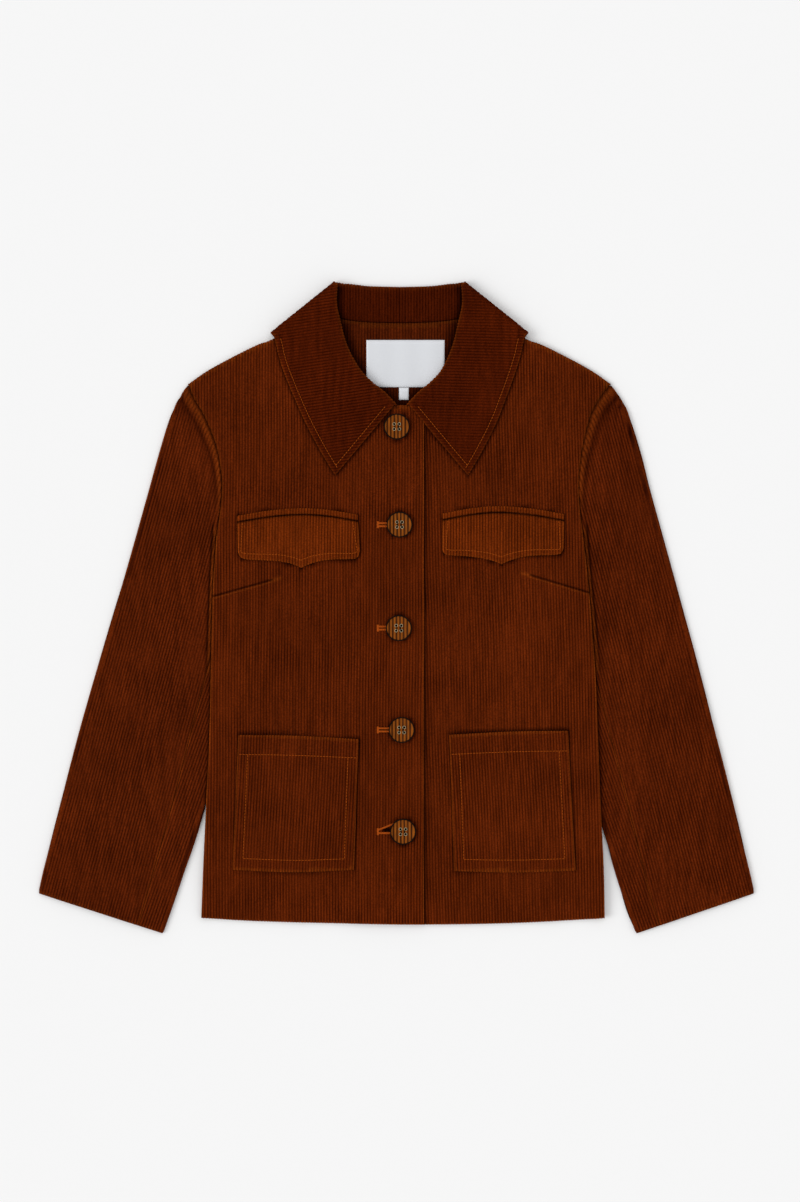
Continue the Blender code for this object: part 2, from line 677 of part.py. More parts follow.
def collar():
    """One piece round the neck: its stand is inside, its fall outside."""
    half = {}
    for side in ("right", "left"):
        sign = -1 if side == "right" else 1

        def rest(place, sign=sign):
            """Near the shoulder seam the fall stays as high as it is further in."""
            pull = SHOULDER_PULL * smooth((place[1] - PULL_FROM) / PULL_OVER)
            further_in = place - np.outer(np.linspace(0, pull, PULL_PLACES), wrap_direction(sign))
            return float(shown_top(further_in).max())

        turns = np.linspace(-90, 90, WRAP_STEPS)
        sections = [collar_section(s, side, -90, rest) for s in NECK_STATIONS]
        sections += [collar_section(NECK_WRAP, side, turn, rest) for turn in turns]
        sections += [collar_section(s, side, 90, rest) for s in FRONT_STATIONS]
        half[side] = sections
    face = np.stack([*reversed(half["right"][1:]), *half["left"]])
    return cloth("collar", face, COLLAR_CLOTH)


# What is sewn on


def laid_on(panel, points, thickness):
    """The points of a piece that lies on a panel."""
    return with_height(points, top_of(panel, points) + LIE + thickness)


def back_facing(back):
    middle = level_cut(back_neckline(), -FACING_HALF_WIDTH, FACING_HALF_WIDTH, FACING_NECK_POINTS)
    middle = middle - [0.0, FACING_SET_BACK]
    corner = np.array([FACING_HALF_WIDTH + FACING_FLARE, FACING_FOOT + FACING_BOW])
    foot = curve_through([corner * [-1, 1], (0, FACING_FOOT), corner], 4)
    left = evenly(np.array([foot[-1], middle[-1]]), OUTLINE_STEP)
    right = evenly(np.array([middle[0], foot[0]]), OUTLINE_STEP)
    outline = np.vstack([foot, left[1:-1], middle[::-1], right[1:-1]])
    return panel("back_facing", outline, lambda at: top_of(back, at) + LIE + FACING_CLOTH, FACING_CLOTH)


def tag(name, facing, box, columns, rows):
    """A bare woven label on the facing."""
    x0, x1, y0, y1 = box
    points = np.stack(np.meshgrid(np.linspace(x0, x1, columns), np.linspace(y0, y1, rows)), axis=-1)
    return cloth(name, laid_on(facing, points, LABEL_CLOTH), LABEL_CLOTH, SATIN)


def applied(name, front, top, foot, thickness, mesh, lift):
    """A piece on a front, between a top curve and a foot curve. lift(share up) raises it off the front."""
    across, up = (np.linspace(0, 1, count) for count in mesh)
    upper, lower = along(curve_through(top), across), along(curve_through(foot), across)
    points = lower[None] * (1 - up)[:, None, None] + upper[None] * up[:, None, None]
    face = laid_on(front, points, thickness)
    face[..., 2] += lift(up)[:, None]
    return cloth(name, face, thickness)


def mouth_lift(up):
    """A patch pocket's mouth stands off the front a little."""
    return POCKET_MOUTH_LIFT * smooth(1 - (1 - up) / POCKET_MOUTH_SHARE)


def foot_lift(up):
    """So does a flap's foot."""
    return FLAP_LIFT * smooth(1 - up / FLAP_LIFT_SHARE)


def pockets(side, front):
    """The patch pocket, the chest flap and the flap's welt."""
    top, foot = PATCH_POCKETS[side]
    applied(f"patch_pocket_{side}", front, top, foot, CLOTH, POCKET_MESH, mouth_lift)
    top, foot = FLAPS[side]
    applied(f"flap_{side}", front, top, foot, CLOTH, FLAP_MESH, foot_lift)
    foot = [(x, y + WELT_GAP) for x, y in top]
    top = [(x, y + WELT_HEIGHT) for x, y in top]
    applied(f"flap_welt_{side}", front, top, foot, WELT_CLOTH, WELT_MESH, np.zeros_like)


def button(number, place, front):
    """A sew-through button: a turned disc with a raised rim and four holes."""
    angles = np.linspace(0, 2 * math.pi, BUTTON_SIDES + 1)
    under = np.array(place) + BUTTON_RADIUS * np.stack([np.cos(angles), np.sin(angles)], axis=-1)
    rest = float(top_of(front, under).max()) + LIE
    profile = [(x * MM, 0.0, z * MM) for x, z in BUTTON_PROFILE]
    mesh = bpy.data.meshes.new(f"button_{number}")
    mesh.from_pydata(profile, [(i, i + 1) for i in range(len(profile) - 1)], [])
    made = new_object(f"button_{number}", mesh, RESIN)
    made.location = in_row_frame([*place, rest])
    turned = made.modifiers.new("turned", "SCREW")
    turned.steps = turned.render_steps = BUTTON_SIDES
    turned.use_merge_vertices = True
    turned.merge_threshold = 0.00001
    turned.use_smooth_shade = False
    for across, up in ((-1, -1), (1, -1), (1, 1), (-1, 1)):
        middle = np.array(place) + np.array([across, up]) * HOLE_SPACING / 2
        cut = made.modifiers.new("hole", "BOOLEAN")
        cut.object = drill(f"drill_{number}", [*middle, rest])
        cut.operation = "DIFFERENCE"


def drill(name, place):
    """The cutter of one hole in a button."""
    radius, depth = HOLE_RADIUS * MM, DRILL_LENGTH * MM
    bm = bmesh.new()
    bmesh.ops.create_cone(bm, cap_ends=True, segments=HOLE_SIDES, radius1=radius, radius2=radius, depth=depth)
    mesh = bpy.data.meshes.new(name)
    bm.to_mesh(mesh)
    bm.free()
    made = bpy.data.objects.new(name, mesh)
    made.location = in_row_frame(place)
    made.hide_render = True
    made.display_type = "WIRE"
    bpy.data.collections["cutters"].objects.link(made)
    return made


def main():
    for old in list(bpy.data.objects):
        bpy.data.objects.remove(old)
    for name in ("corduroy_jacket", "cutters"):
        bpy.context.scene.collection.children.link(bpy.data.collections.new(name))
    back = body_back()
    facing = back_facing(back)
    tag("label", facing, LABEL, 7, 6)
    tag("size_tab", facing, SIZE_TAB, 2, 3)
    fronts = {side: body_front(side) for side in ("right", "left")}
    for side, front in fronts.items():
        sleeve(side)
        pockets(side, front)
    collar()
    for number, place in enumerate(BUTTONS, start=1):
        button(number, place, fronts["right"])


main()
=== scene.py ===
"""A corduroy jacket, buttoned and laid flat on its back, with its sleeves tucked under its sides.

Places are in millimetres from the centre front (x, to the wearer's left) and the hem (y, up to the
neck), with z up from the surface that the jacket lies on. "right" and "left" are the wearer's.
"""

import math

import bmesh
import bpy
import numpy as np
from mathutils import Matrix, Vector
from mathutils.bvhtree import BVHTree
from mathutils.geometry import delaunay_2d_cdt


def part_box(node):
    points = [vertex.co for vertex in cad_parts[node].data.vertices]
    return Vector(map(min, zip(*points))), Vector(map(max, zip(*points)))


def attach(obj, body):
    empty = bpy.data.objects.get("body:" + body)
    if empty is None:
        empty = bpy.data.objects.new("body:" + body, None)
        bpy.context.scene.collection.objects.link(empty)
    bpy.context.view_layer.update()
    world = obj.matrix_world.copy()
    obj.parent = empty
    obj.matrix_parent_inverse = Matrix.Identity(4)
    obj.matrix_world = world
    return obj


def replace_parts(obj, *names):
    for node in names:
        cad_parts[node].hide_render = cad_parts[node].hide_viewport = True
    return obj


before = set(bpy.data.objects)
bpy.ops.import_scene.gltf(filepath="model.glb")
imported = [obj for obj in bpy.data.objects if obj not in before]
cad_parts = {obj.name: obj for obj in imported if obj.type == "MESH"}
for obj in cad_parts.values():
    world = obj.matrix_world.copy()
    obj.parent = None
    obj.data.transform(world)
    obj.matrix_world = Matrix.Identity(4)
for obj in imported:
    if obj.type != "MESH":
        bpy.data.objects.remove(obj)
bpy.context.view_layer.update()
bpy.ops.object.select_all(action="DESELECT")


# The back: one panel of corduroy from side to side, cut with the wales upright. It lies pile down on
# the surface, carried by the sleeves under its sides and by the collar's fall under its neck.

MM = 0.001
TINY = 1e-9
BOX_MIDDLE = np.array([-3.3, 326.7])  # the middle of the jacket, which is the origin
SIGN = {"right": -1, "left": 1}  # of x on each side
CLOTH = 1.8
SEAM = 0.3
LIE = 0.4
WALE = 3.05  # from one wale to the next: eight to the inch
WALE_DEPTH = 0.62
EDGE_WIDTH, EDGE_DROP = 3.0, 0.62  # a sewn edge rolls down over this width
RUB_WIDTH = 2.2  # and its pile is rubbed paler
SCALLOP = 0.5  # the wales stand out this far along an edge that cuts across them
LINING_MESH = 14.0
NET_MARGIN = 0.6  # the net of a panel ends this share of a cell inside its outline
SHORTEST = 0.05  # cells: a shorter side of an outline is left out
MARK_REACH = 3.0  # half-widths beyond which a mark is left out
WOBBLE, WOBBLE_LENGTH = 0.10, 170.0  # wales wander by this share of a wale, over this length

SIDE_SEAM = [  # y, x of the right side, x of the left side
    (2.4, -207.9, 215.1),
    (55.0, -205.8, 214.0),
    (122.0, -202.7, 210.8),
    (195.0, -199.2, 207.9),
    (265.0, -197.6, 204.8),
    (345.0, -195.6, 198.5),
    (405.0, -191.5, 192.2),
]
ARMHOLE = [  # the same, up to the shoulder point
    (405.0, -191.5, 192.2),
    (430.0, -187.9, 189.2),
    (456.0, -186.4, 188.0),
    (480.0, -188.6, 189.6),
    (502.0, -193.7, 193.3),
    (530.0, -205.3, 200.7),
    (548.0, -216.0, 210.2),
    (562.4, -222.1, 221.9),
]
SHOULDER = [(222.0, 562.4), (200.0, 577.6), (167.5, 595.0), (146.5, 604.9), (133.5, 609.6), (88.5, 634.0)]
HEM = [(-208.0, 2.4), (-150.0, -1.0), (-60.0, -3.4), (25.0, -4.6), (120.0, -3.0), (215.1, 2.0)]
UNDERARM = 405.0
SLEEVE_INNER = [  # y, x of the right sleeve's edge by the body, x of the left one's, down to the cuff
    (338.0, -140.0, 142.0),
    (215.0, -175.6, 178.0),
    (94.5, -210.8, 213.4),
    (52.5, -225.0, 225.4),
    (10.5, -239.0, 238.0),
    (-14.0, -248.0, 248.2),
]
SLEEVE_LIFT, SLEEVE_MARGIN, SLEEVE_RAMP = 6.5, 8.0, 42.0
BEYOND_SLEEVES = 420.0
COLLAR_LIFT, COLLAR_MARGIN, COLLAR_RAMP = 2.6, 6.0, 60.0
COLLAR_SHADOW = [(67.5, 669.0), (135.0, 615.3), (112.0, 608.0), (80.0, 604.5), (42.0, 602.5)]
NECK_SEAM = 1.4
NECK_STATIONS = [  # the collar's sections: neck seam x, y, roll line x, y, outer edge x, y
    (0.0, 627.0, 0.0, 664.7, 0.0, 602.0),
    (36.0, 628.0, 32.0, 665.6, 61.0, 603.2),
    (64.0, 631.5, 56.0, 668.2, 108.0, 607.4),
]
NECK_WRAP = (81.0, 634.5, 64.6, 666.2, 131.5, 611.4)
BACK_SAMPLES, BACK_ROWS = 3, 7.0


def smooth(share):
    """0 below 0, 1 above 1, with an even rise between."""
    share = np.clip(share, 0.0, 1.0)
    return share * share * (3.0 - 2.0 * share)


def bell(values, middle, spread):
    """1 in the middle, falling off evenly to both sides."""
    return np.exp(-(((values - middle) / spread) ** 2))


def unit(ways):
    return ways / np.maximum(np.linalg.norm(ways, axis=-1), TINY)[..., None]


def curve_through(points, steps=10):
    """A smooth line through the points, as many short straight ones."""
    p = np.array(points, float)
    p = np.vstack([2 * p[0] - p[1], p, 2 * p[-1] - p[-2]])
    made = []
    for i in range(1, len(p) - 2):
        for t in np.arange(steps) / steps:
            a = 2 * p[i]
            b = (p[i + 1] - p[i - 1]) * t
            c = (2 * p[i - 1] - 5 * p[i] + 4 * p[i + 1] - p[i + 2]) * t**2
            d = (3 * p[i] - p[i - 1] - 3 * p[i + 1] + p[i + 2]) * t**3
            made.append((a + b + c + d) / 2)
    return np.array(made + [p[-2]])


def distance_to(points, line):
    """How far each point is from an open line."""
    best = np.full(points.shape[:-1], np.inf)
    for a, b in zip(line[:-1], line[1:]):
        step = b - a
        share = np.clip(((points - a) @ step) / max(step @ step, TINY), 0.0, 1.0)
        off = points - a - share[..., None] * step
        best = np.minimum(best, (off * off).sum(-1))
    return np.sqrt(best)


def inside(points, corners):
    """Whether each point is inside a polygon."""
    ring = np.array([*corners, corners[0]], float)
    made = np.zeros(points.shape[:-1], bool)
    for a, b in zip(ring[:-1], ring[1:]):
        crosses = (a[1] > points[..., 1]) != (b[1] > points[..., 1])
        rise = b[1] - a[1] if abs(b[1] - a[1]) > TINY else TINY
        made ^= crosses & (points[..., 0] < a[0] + (points[..., 1] - a[1]) / rise * (b[0] - a[0]))
    return made


def marked(points, marks):
    """The strongest of the marks at each point. A mark is a line, its strength and its half-width."""
    made = np.zeros(points.shape[:-1])
    for line, strength, width in marks:
        line = np.array(line, float)
        low, high = line.min(axis=0) - MARK_REACH * width, line.max(axis=0) + MARK_REACH * width
        near = ((points > low) & (points < high)).all(axis=-1)
        off = distance_to(points[near], line)
        made[near] = np.maximum(made[near], strength * bell(off, 0, width))
    return made


def outside(points, corners):
    """How far each point is outside a polygon, and 0 inside it."""
    ring = np.array([*corners, corners[0]], float)
    return np.where(inside(points, corners), 0.0, distance_to(points, ring))


def side_column(table, side):
    return [(row[1] if side == "right" else row[2], row[0]) for row in table]


def mirrored(points, side):
    return [(SIGN[side] * x, y) for x, y in points]


def side_curve(table, side):
    return curve_through(side_column(table, side))


def side_line(side):
    """From the hem up the side seam and the armhole to the shoulder point."""
    return np.vstack([side_curve(SIDE_SEAM, side), side_curve(ARMHOLE, side)[1:]])


def shoulder_line(side):
    """From the shoulder point to the neck."""
    return curve_through(mirrored(SHOULDER, side), 4)


def clear_of_stand(neck, roll):
    """A point of the neckline, beside the collar's neck seam."""
    way = neck - roll
    return neck + way / np.linalg.norm(way) * NECK_SEAM


def back_neckline():
    """From the right shoulder's neck end to the left one's."""
    half = [clear_of_stand(np.array(s[:2]), np.array(s[2:4])) for s in [*NECK_STATIONS, NECK_WRAP]]
    half.append(np.array(SHOULDER[-1]))
    return curve_through([*reversed(mirrored(half[1:], "right")), *half], 4)


def sleeve_shadow(side):
    """The ground that the sleeve takes under the body and beside it."""
    inner = side_column(SLEEVE_INNER, side)
    beyond = mirrored([(BEYOND_SLEEVES, inner[-1][1]), (BEYOND_SLEEVES, UNDERARM)], side)
    return [side_column(ARMHOLE, side)[0], *inner, *beyond]


def back_under(points):
    """The underside of the back: flat on the surface, and carried by the sleeves and the collar's fall."""
    lift = np.zeros(points.shape[:-1])
    for side in ("right", "left"):
        off = outside(points, sleeve_shadow(side)) - SLEEVE_MARGIN
        lift = np.maximum(lift, SLEEVE_LIFT * smooth(1 - off / SLEEVE_RAMP))
    shadow = [*COLLAR_SHADOW, *reversed(mirrored(COLLAR_SHADOW, "right"))]
    off = outside(points, shadow) - COLLAR_MARGIN
    return np.maximum(lift, COLLAR_LIFT * smooth(1 - off / COLLAR_RAMP))


def grain_axes(angle):
    """Turns a place into (across the wales, along them). The wales' tops lean this far to +x."""
    turn = math.radians(angle)
    return np.array([[math.cos(turn), math.sin(turn)], [-math.sin(turn), math.cos(turn)]])


def pile_height(wales):
    """1 on the crest of a wale and 0 in the groove beside it. wales counts them across the cloth."""
    return np.abs(np.sin(np.pi * wales)) ** 0.9


def row_places(low, high, step, bands):
    """Rows across the wales: one every step, and closer together in the bands (from, to, step)."""
    made = [low]
    while made[-1] < high:
        closer = [s for start, end, s in bands if start <= made[-1] < end]
        made.append(made[-1] + min([step, *closer]))
    return np.array(made)


def crossings(ring, columns, row):
    """For each column, whether its place on this row is inside the ring."""
    a, b = ring, np.roll(ring, -1, axis=0)
    cut = (a[:, 1] > row) != (b[:, 1] > row)
    a, b = a[cut], b[cut]
    at = a[:, 0] + (row - a[:, 1]) * (b[:, 0] - a[:, 0]) / (b[:, 1] - a[:, 1])
    return np.searchsorted(np.sort(at), columns) % 2 == 1


def wale_net(outline, angle, samples, step, bands):
    """Plan points and faces over an outline: columns follow the wales, rows go across them, and a
    strip of triangles fits them to the outline. The outline's own points come first."""
    axes = grain_axes(angle)
    corners = outline @ axes
    rows = row_places(corners[:, 1].min() - step, corners[:, 1].max() + step, step, bands)
    column = WALE / samples
    net = np.stack([corners[:, 0] / column, np.interp(corners[:, 1], rows, np.arange(len(rows)))], axis=-1)
    ring = []
    for a, b in zip(net, np.roll(net, -1, axis=0)):
        length = np.linalg.norm(b - a)
        if length > SHORTEST:
            count = max(1, math.ceil(length))
            ring.extend(a + (b - a) * share for share in np.arange(count) / count)
    ring = np.array(ring)

    first = math.floor(ring[:, 0].min())
    columns = np.arange(first, math.ceil(ring[:, 0].max()) + 1)
    kept = np.ones((len(rows), len(columns)), bool)
    for across, up in ((0, 0), (NET_MARGIN, 0), (-NET_MARGIN, 0), (0, NET_MARGIN), (0, -NET_MARGIN)):
        kept &= np.stack([crossings(ring, columns + across, j + up) for j in range(len(rows))])
    cell = np.zeros((len(rows) + 1, len(columns) + 1), bool)  # shifted by one, so that its border is empty
    cell[1:-1, 1:-1] = kept[:-1, :-1] & kept[:-1, 1:] & kept[1:, :-1] & kept[1:, 1:]
    used = cell[:-1, :-1] | cell[:-1, 1:] | cell[1:, :-1] | cell[1:, 1:]
    number = np.cumsum(used).reshape(used.shape) - 1 + len(ring)
    j, i = np.nonzero(used)
    lattice = np.stack([columns[i], j], axis=-1).astype(float)
    j, i = np.nonzero(cell[1:-1, 1:-1])
    quads = np.stack([number[j, i], number[j, i + 1], number[j + 1, i + 1], number[j + 1, i]], axis=-1)

    j, i = np.nonzero(cell[1:-1, 1:] != cell[1:-1, :-1])
    upright = np.stack([number[j, i], number[j + 1, i]], axis=-1)
    j, i = np.nonzero(cell[1:, 1:-1] != cell[:-1, 1:-1])
    level = np.stack([number[j, i], number[j, i + 1]], axis=-1)
    places = np.vstack([ring, lattice])
    edges = np.vstack([upright, level])
    rim = np.unique(edges)
    local = {n: k for k, n in enumerate(rim, start=len(ring))}
    plan = [Vector(p) for p in np.vstack([ring, places[rim]])]
    loop = [(k, (k + 1) % len(ring)) for k in range(len(ring))]
    made = delaunay_2d_cdt(plan, loop + [(local[a], local[b]) for a, b in edges], [], 1, 1e-5)
    source = [origin[0] for origin in made[3]]
    back_to = np.concatenate([np.arange(len(ring)), rim])
    strip = back_to[[[source[k] for k in face] for face in made[2]]]
    middle = places[strip].mean(axis=1)
    inner = cell[np.floor(middle[:, 1]).astype(int) + 1, np.floor(middle[:, 0] - first).astype(int) + 1]
    strip = strip[~inner]

    u = places[:, 0] * column
    v = np.interp(places[:, 1], np.arange(len(rows)), rows)
    return np.stack([u, v], axis=-1) @ axes.T, [*quads.tolist(), *strip.tolist()], len(ring)


def in_row_frame(points):
    """Metres from the middle of the jacket."""
    made = np.array(points, float)
    made[..., :2] -= BOX_MIDDLE
    return made * MM


def with_height(points, height):
    """Plan points with a height each, or one for all."""
    return np.concatenate([points, np.broadcast_to(height, points.shape[:-1])[..., None]], axis=-1)


def give(mesh, attributes):
    """Gives each point of a mesh its values, for the materials."""
    for key, values in attributes.items():
        mesh.attributes.new(key, "FLOAT", "POINT").data.foreach_set("value", np.asarray(values, np.float32))


def linked(name, data):
    """A new object in the scene."""
    made = bpy.data.objects.new(name, data)
    bpy.context.scene.collection.objects.link(made)
    return made


def riding(name, mesh):
    """A mesh as an object that rides on the jacket."""
    mesh.name = name
    made = linked(name, mesh)
    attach(made, "root")
    return made


def smooth_mesh(points, faces, material):
    mesh = bpy.data.meshes.new("mesh")
    mesh.from_pydata(in_row_frame(points).tolist(), [], faces)
    mesh.polygons.foreach_set("use_smooth", np.ones(len(mesh.polygons), bool))
    mesh.materials.append(material)
    return mesh


def finished(name, points, faces, attributes, material, node, area):
    """A closed piece of cloth, riding on the jacket and standing for its plain solid."""
    mesh = smooth_mesh(points, faces, material)
    give(mesh, attributes)
    bm = bmesh.new()
    bm.from_mesh(mesh)
    bmesh.ops.recalc_face_normals(bm, faces=bm.faces)
    bm.to_mesh(mesh)
    bm.free()
    made = riding(name, mesh)
    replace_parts(made, node)
    return made


def polygon_area(corners):
    x, y = corners[:, 0], corners[:, 1]
    return (x * np.roll(y, -1) - np.roll(x, -1) * y).sum() / 2


def laid_cloth(name, outline, angle, face, thickness, material, node, samples, step,
               bands=(), depth=WALE_DEPTH, faces_up=True, shade_marks=(), wear_and_highlight=(), rubbed=1.0):
    """A panel of cloth that lies flat. face(points) is the height of its crests. Shade is painted on it at
    the first set of marks and highlights at the second, and its pile is rubbed paler along its edge."""
    if polygon_area(outline) < 0:
        outline = outline[::-1]
    points, faces, count = wale_net(outline, angle, samples, step, bands)
    axes = grain_axes(angle)
    across, along_grain = (points @ axes).T
    wander = WOBBLE * np.sin(2 * math.pi * along_grain / WOBBLE_LENGTH + across / WOBBLE_LENGTH)
    pile = pile_height(across / WALE + wander)
    off = distance_to(points, np.vstack([outline, outline[:1]]))
    sign = 1 if faces_up else -1
    roll = EDGE_DROP * (1 - np.clip(off / EDGE_WIDTH, 0, 1)) ** 2
    height = face(points)
    shown = height - sign * (depth * (1 - pile) + roll)

    tangent = unit(np.roll(points[:count], -1, axis=0) - np.roll(points[:count], 1, axis=0))
    outward = np.stack([tangent[:, 1], -tangent[:, 0]], axis=-1)
    cut_across = (tangent @ axes[:, 0]) ** 2 * (depth > 0)
    plan = points.copy()
    plan[:count] -= outward * (SCALLOP * (1 - pile[:count]) * cut_across)[:, None]

    low, high = outline.min(axis=0), outline.max(axis=0)
    xs, ys = (np.arange(a + LINING_MESH / 2, b, LINING_MESH) for a, b in zip(low, high))
    lattice = np.stack(np.meshgrid(xs, ys), axis=-1).reshape(-1, 2)
    ring = np.vstack([plan[:count], plan[:1]])
    lattice = lattice[inside(lattice, plan[:count]) & (distance_to(lattice, ring) > LINING_MESH / 3)]
    inner = np.vstack([plan[:count], lattice])
    loop = [(k, (k + 1) % count) for k in range(count)]
    wrong = delaunay_2d_cdt([Vector(p) for p in inner], loop, [], 1, 1e-6)
    source = [origin[0] for origin in wrong[3]]
    start = len(points)
    faces = [list(face) for face in faces]
    faces += [[start + source[k] for k in reversed(face)] for face in wrong[2]]
    faces += [[start + k, start + (k + 1) % count, (k + 1) % count, k] for k in range(count)]
    inner_height = np.concatenate([height[:count], face(lattice)]) - sign * thickness
    whole = np.vstack([with_height(plan, shown), with_height(inner, inner_height)])
    none = np.zeros(len(inner))
    # Paler where its edge is rubbed and where highlights are painted, and darker where shade is painted.
    pale_edge_and_highlight = np.maximum(rubbed * smooth(1 - off / RUB_WIDTH), marked(points, wear_and_highlight))
    attributes = {"pile": np.concatenate([pile, none]), "pale_edge_and_highlight": np.concatenate([pale_edge_and_highlight, none]),
                  "painted_shade": np.concatenate([marked(points, shade_marks), none])}
    return finished(name, whole, faces, attributes, material, node, polygon_area(outline))


def linear(code):
    """A hex sRGB colour, as the shaders read it."""
    parts = [int(code[i:i + 2], 16) / 255 for i in (1, 3, 5)]
    return (*[c / 12.92 if c <= 0.04045 else ((c + 0.055) / 1.055) ** 2.4 for c in parts], 1.0)


def add_node(tree, kind, inputs=None, output=0, **settings):
    """Adds a node with its settings, and returns one of its outputs. An input is a value, or the
    output that feeds it."""
    made = tree.nodes.new("ShaderNode" + kind)
    for key, value in settings.items():
        setattr(made, key, value)
    for key, value in (inputs or {}).items():
        if isinstance(value, bpy.types.NodeSocket):
            tree.links.new(value, made.inputs[key])
        else:
            made.inputs[key].default_value = value
    return made.outputs[output] if made.outputs else None


def new_material(name):
    made = bpy.data.materials.new(name)
    made.use_nodes = True
    made.node_tree.nodes.clear()
    return made, made.node_tree


def corduroy(name, groove, crest, rubbed):
    """Wide-wale cotton corduroy: cut pile in rounded wales. It is dark in the grooves, and paler on the
    crests where it is rubbed along its edges and where highlights are painted on ridges and folds. Painted
    shade darkens it beside and under other pieces and inside folds. In brushed patches the pile lies
    across the grooves, and its nap, tufts and rows vary a little."""
    material, tree = new_material(name)
    place = add_node(tree, "TexCoord", output="Object")
    pile, pale_edge_and_highlight, painted_shade = (add_node(tree, "Attribute", output="Fac", attribute_name=key)
                        for key in ("pile", "pale_edge_and_highlight", "painted_shade"))
    drawn_out = add_node(tree, "Mapping", {"Vector": place, "Scale": (1.0, 0.12, 1.0)})
    nap, tufts, rows, brushed = (
        add_node(tree, "TexNoise", {"Vector": at, "Scale": 1 / (size * MM), "Detail": detail,
                                    "Roughness": rough})
        for at, size, detail, rough in ((place, 90, 5.0, 0.65), (place, 1.3, 2.0, 0.5),
                                        (drawn_out, 4.0, 2.0, 0.5), (place, 45, 3.0, 0.5)))
    wash = add_node(tree, "MapRange", {0: brushed, 1: 0.45, 2: 0.68, 3: 0.0, 4: 0.5})
    evened = add_node(tree, "Mix", {0: wash, 2: pile, 3: 0.66})
    base = add_node(tree, "Mix", {0: evened, 6: linear(groove), 7: linear(crest)}, 2, data_type="RGBA")
    # The rubbed colour goes on edges where the pile is worn and on painted highlights, most of all on the
    # crests.
    on_crest = add_node(tree, "MapRange", {0: pile, 3: 0.3, 4: 1.0})
    bare = add_node(tree, "Math", {0: pale_edge_and_highlight, 1: on_crest}, operation="MULTIPLY")
    paler = add_node(tree, "Mix", {0: bare, 6: base, 7: linear(rubbed)}, 2, data_type="RGBA")
    # Painted shade: the colour darkens, down to 8 % of itself, where shade is painted beside and under
    # other pieces.
    value = add_node(tree, "MapRange", {0: painted_shade, 3: 1.0, 4: 0.08})
    for varied, low, high in ((nap, 0.80, 1.20), (tufts, 0.66, 1.34), (rows, 0.80, 1.20)):
        factor = add_node(tree, "MapRange", {0: varied, 1: 0.3, 2: 0.7, 3: low, 4: high})
        value = add_node(tree, "Math", {0: value, 1: factor}, operation="MULTIPLY")
    shade = add_node(tree, "HueSaturation", {"Value": value, "Color": paler})
    fuzz = add_node(tree, "Bump", {"Strength": 0.5, "Distance": 0.25 * MM, "Height": tufts})
    shader = add_node(tree, "BsdfPrincipled", {
        "Base Color": shade, "Roughness": 0.92, "Sheen Weight": 0.03, "Sheen Roughness": 0.5,
        "Sheen Tint": linear(rubbed), "Specular IOR Level": 0.0, "Normal": fuzz})
    add_node(tree, "OutputMaterial", {"Surface": shader})
    return material


body_corduroy = corduroy("corduroy_body", "#1d0402", "#602307", "#80390d")

right, left = side_line("right"), side_line("left")
hem = curve_through(HEM)[1:-1]
outline = np.vstack([hem, left, shoulder_line("left")[1:-1], back_neckline()[::-1],
                     shoulder_line("right")[::-1][1:-1], right[::-1]])
laid_cloth("jacket_back", outline, 0.0, back_under, CLOTH, body_corduroy, "back",
           BACK_SAMPLES, BACK_ROWS, faces_up=False)


# The fronts: two panels with the wales upright, a bust dart in each, and button stands that lap. The
# right front lies over the left one, and its edge is pressed.

LAP = 0.7
LOFT, LOFT_REACH = 2.3, 30.0
HEM_GAP, HEM_REACH = 0.6, 60.0
ARMHOLE_GAP, ARMHOLE_REACH = 1.4, 25.0
NECK_GAP, NECK_REACH = 3.9, 75.0
NECK_ZONE = [(-95, 532), (95, 532), (138, 600), (138, 672), (-138, 672), (-138, 600)]
SEAM_REACH = 13.0
CLOSING_WIDTH, CLOSING_REACH = 40.0, 45.0
LOFT_AT_CLOSING = 0.3
LOFT_ON_SLEEVE = 0.35
BUTTON_STAND = 25.7
CLOSING_NECK = [(-BUTTON_STAND, 539.8), (0.0, 540.4)]
LAP_START, LAP_FULL = -72.0, -31.0
LAP_END = 20.0
FRONT_STATIONS = [  # the collar's sections, as above, down to its front end
    (84.0, 622.0, 65.4, 647.0, 129.0, 602.5),
    (81.5, 607.0, 61.2, 627.0, 126.6, 591.0),
    (75.0, 591.0, 57.0, 609.5, 120.6, 572.5),
    (66.0, 576.0, 50.8, 593.0, 110.8, 547.0),
    (54.0, 562.5, 41.0, 576.0, 99.4, 520.0),
    (39.0, 553.5, 30.0, 564.5, 85.2, 492.6),
    (23.5, 546.5, 17.2, 554.0, 74.8, 474.8),
    (9.2, 540.4, 4.6, 541.0, 69.7, 466.5),
]
LEAN_FROM, COLLAR_LEAN = 600.0, 2.2
FOLD_FADE = 0.3
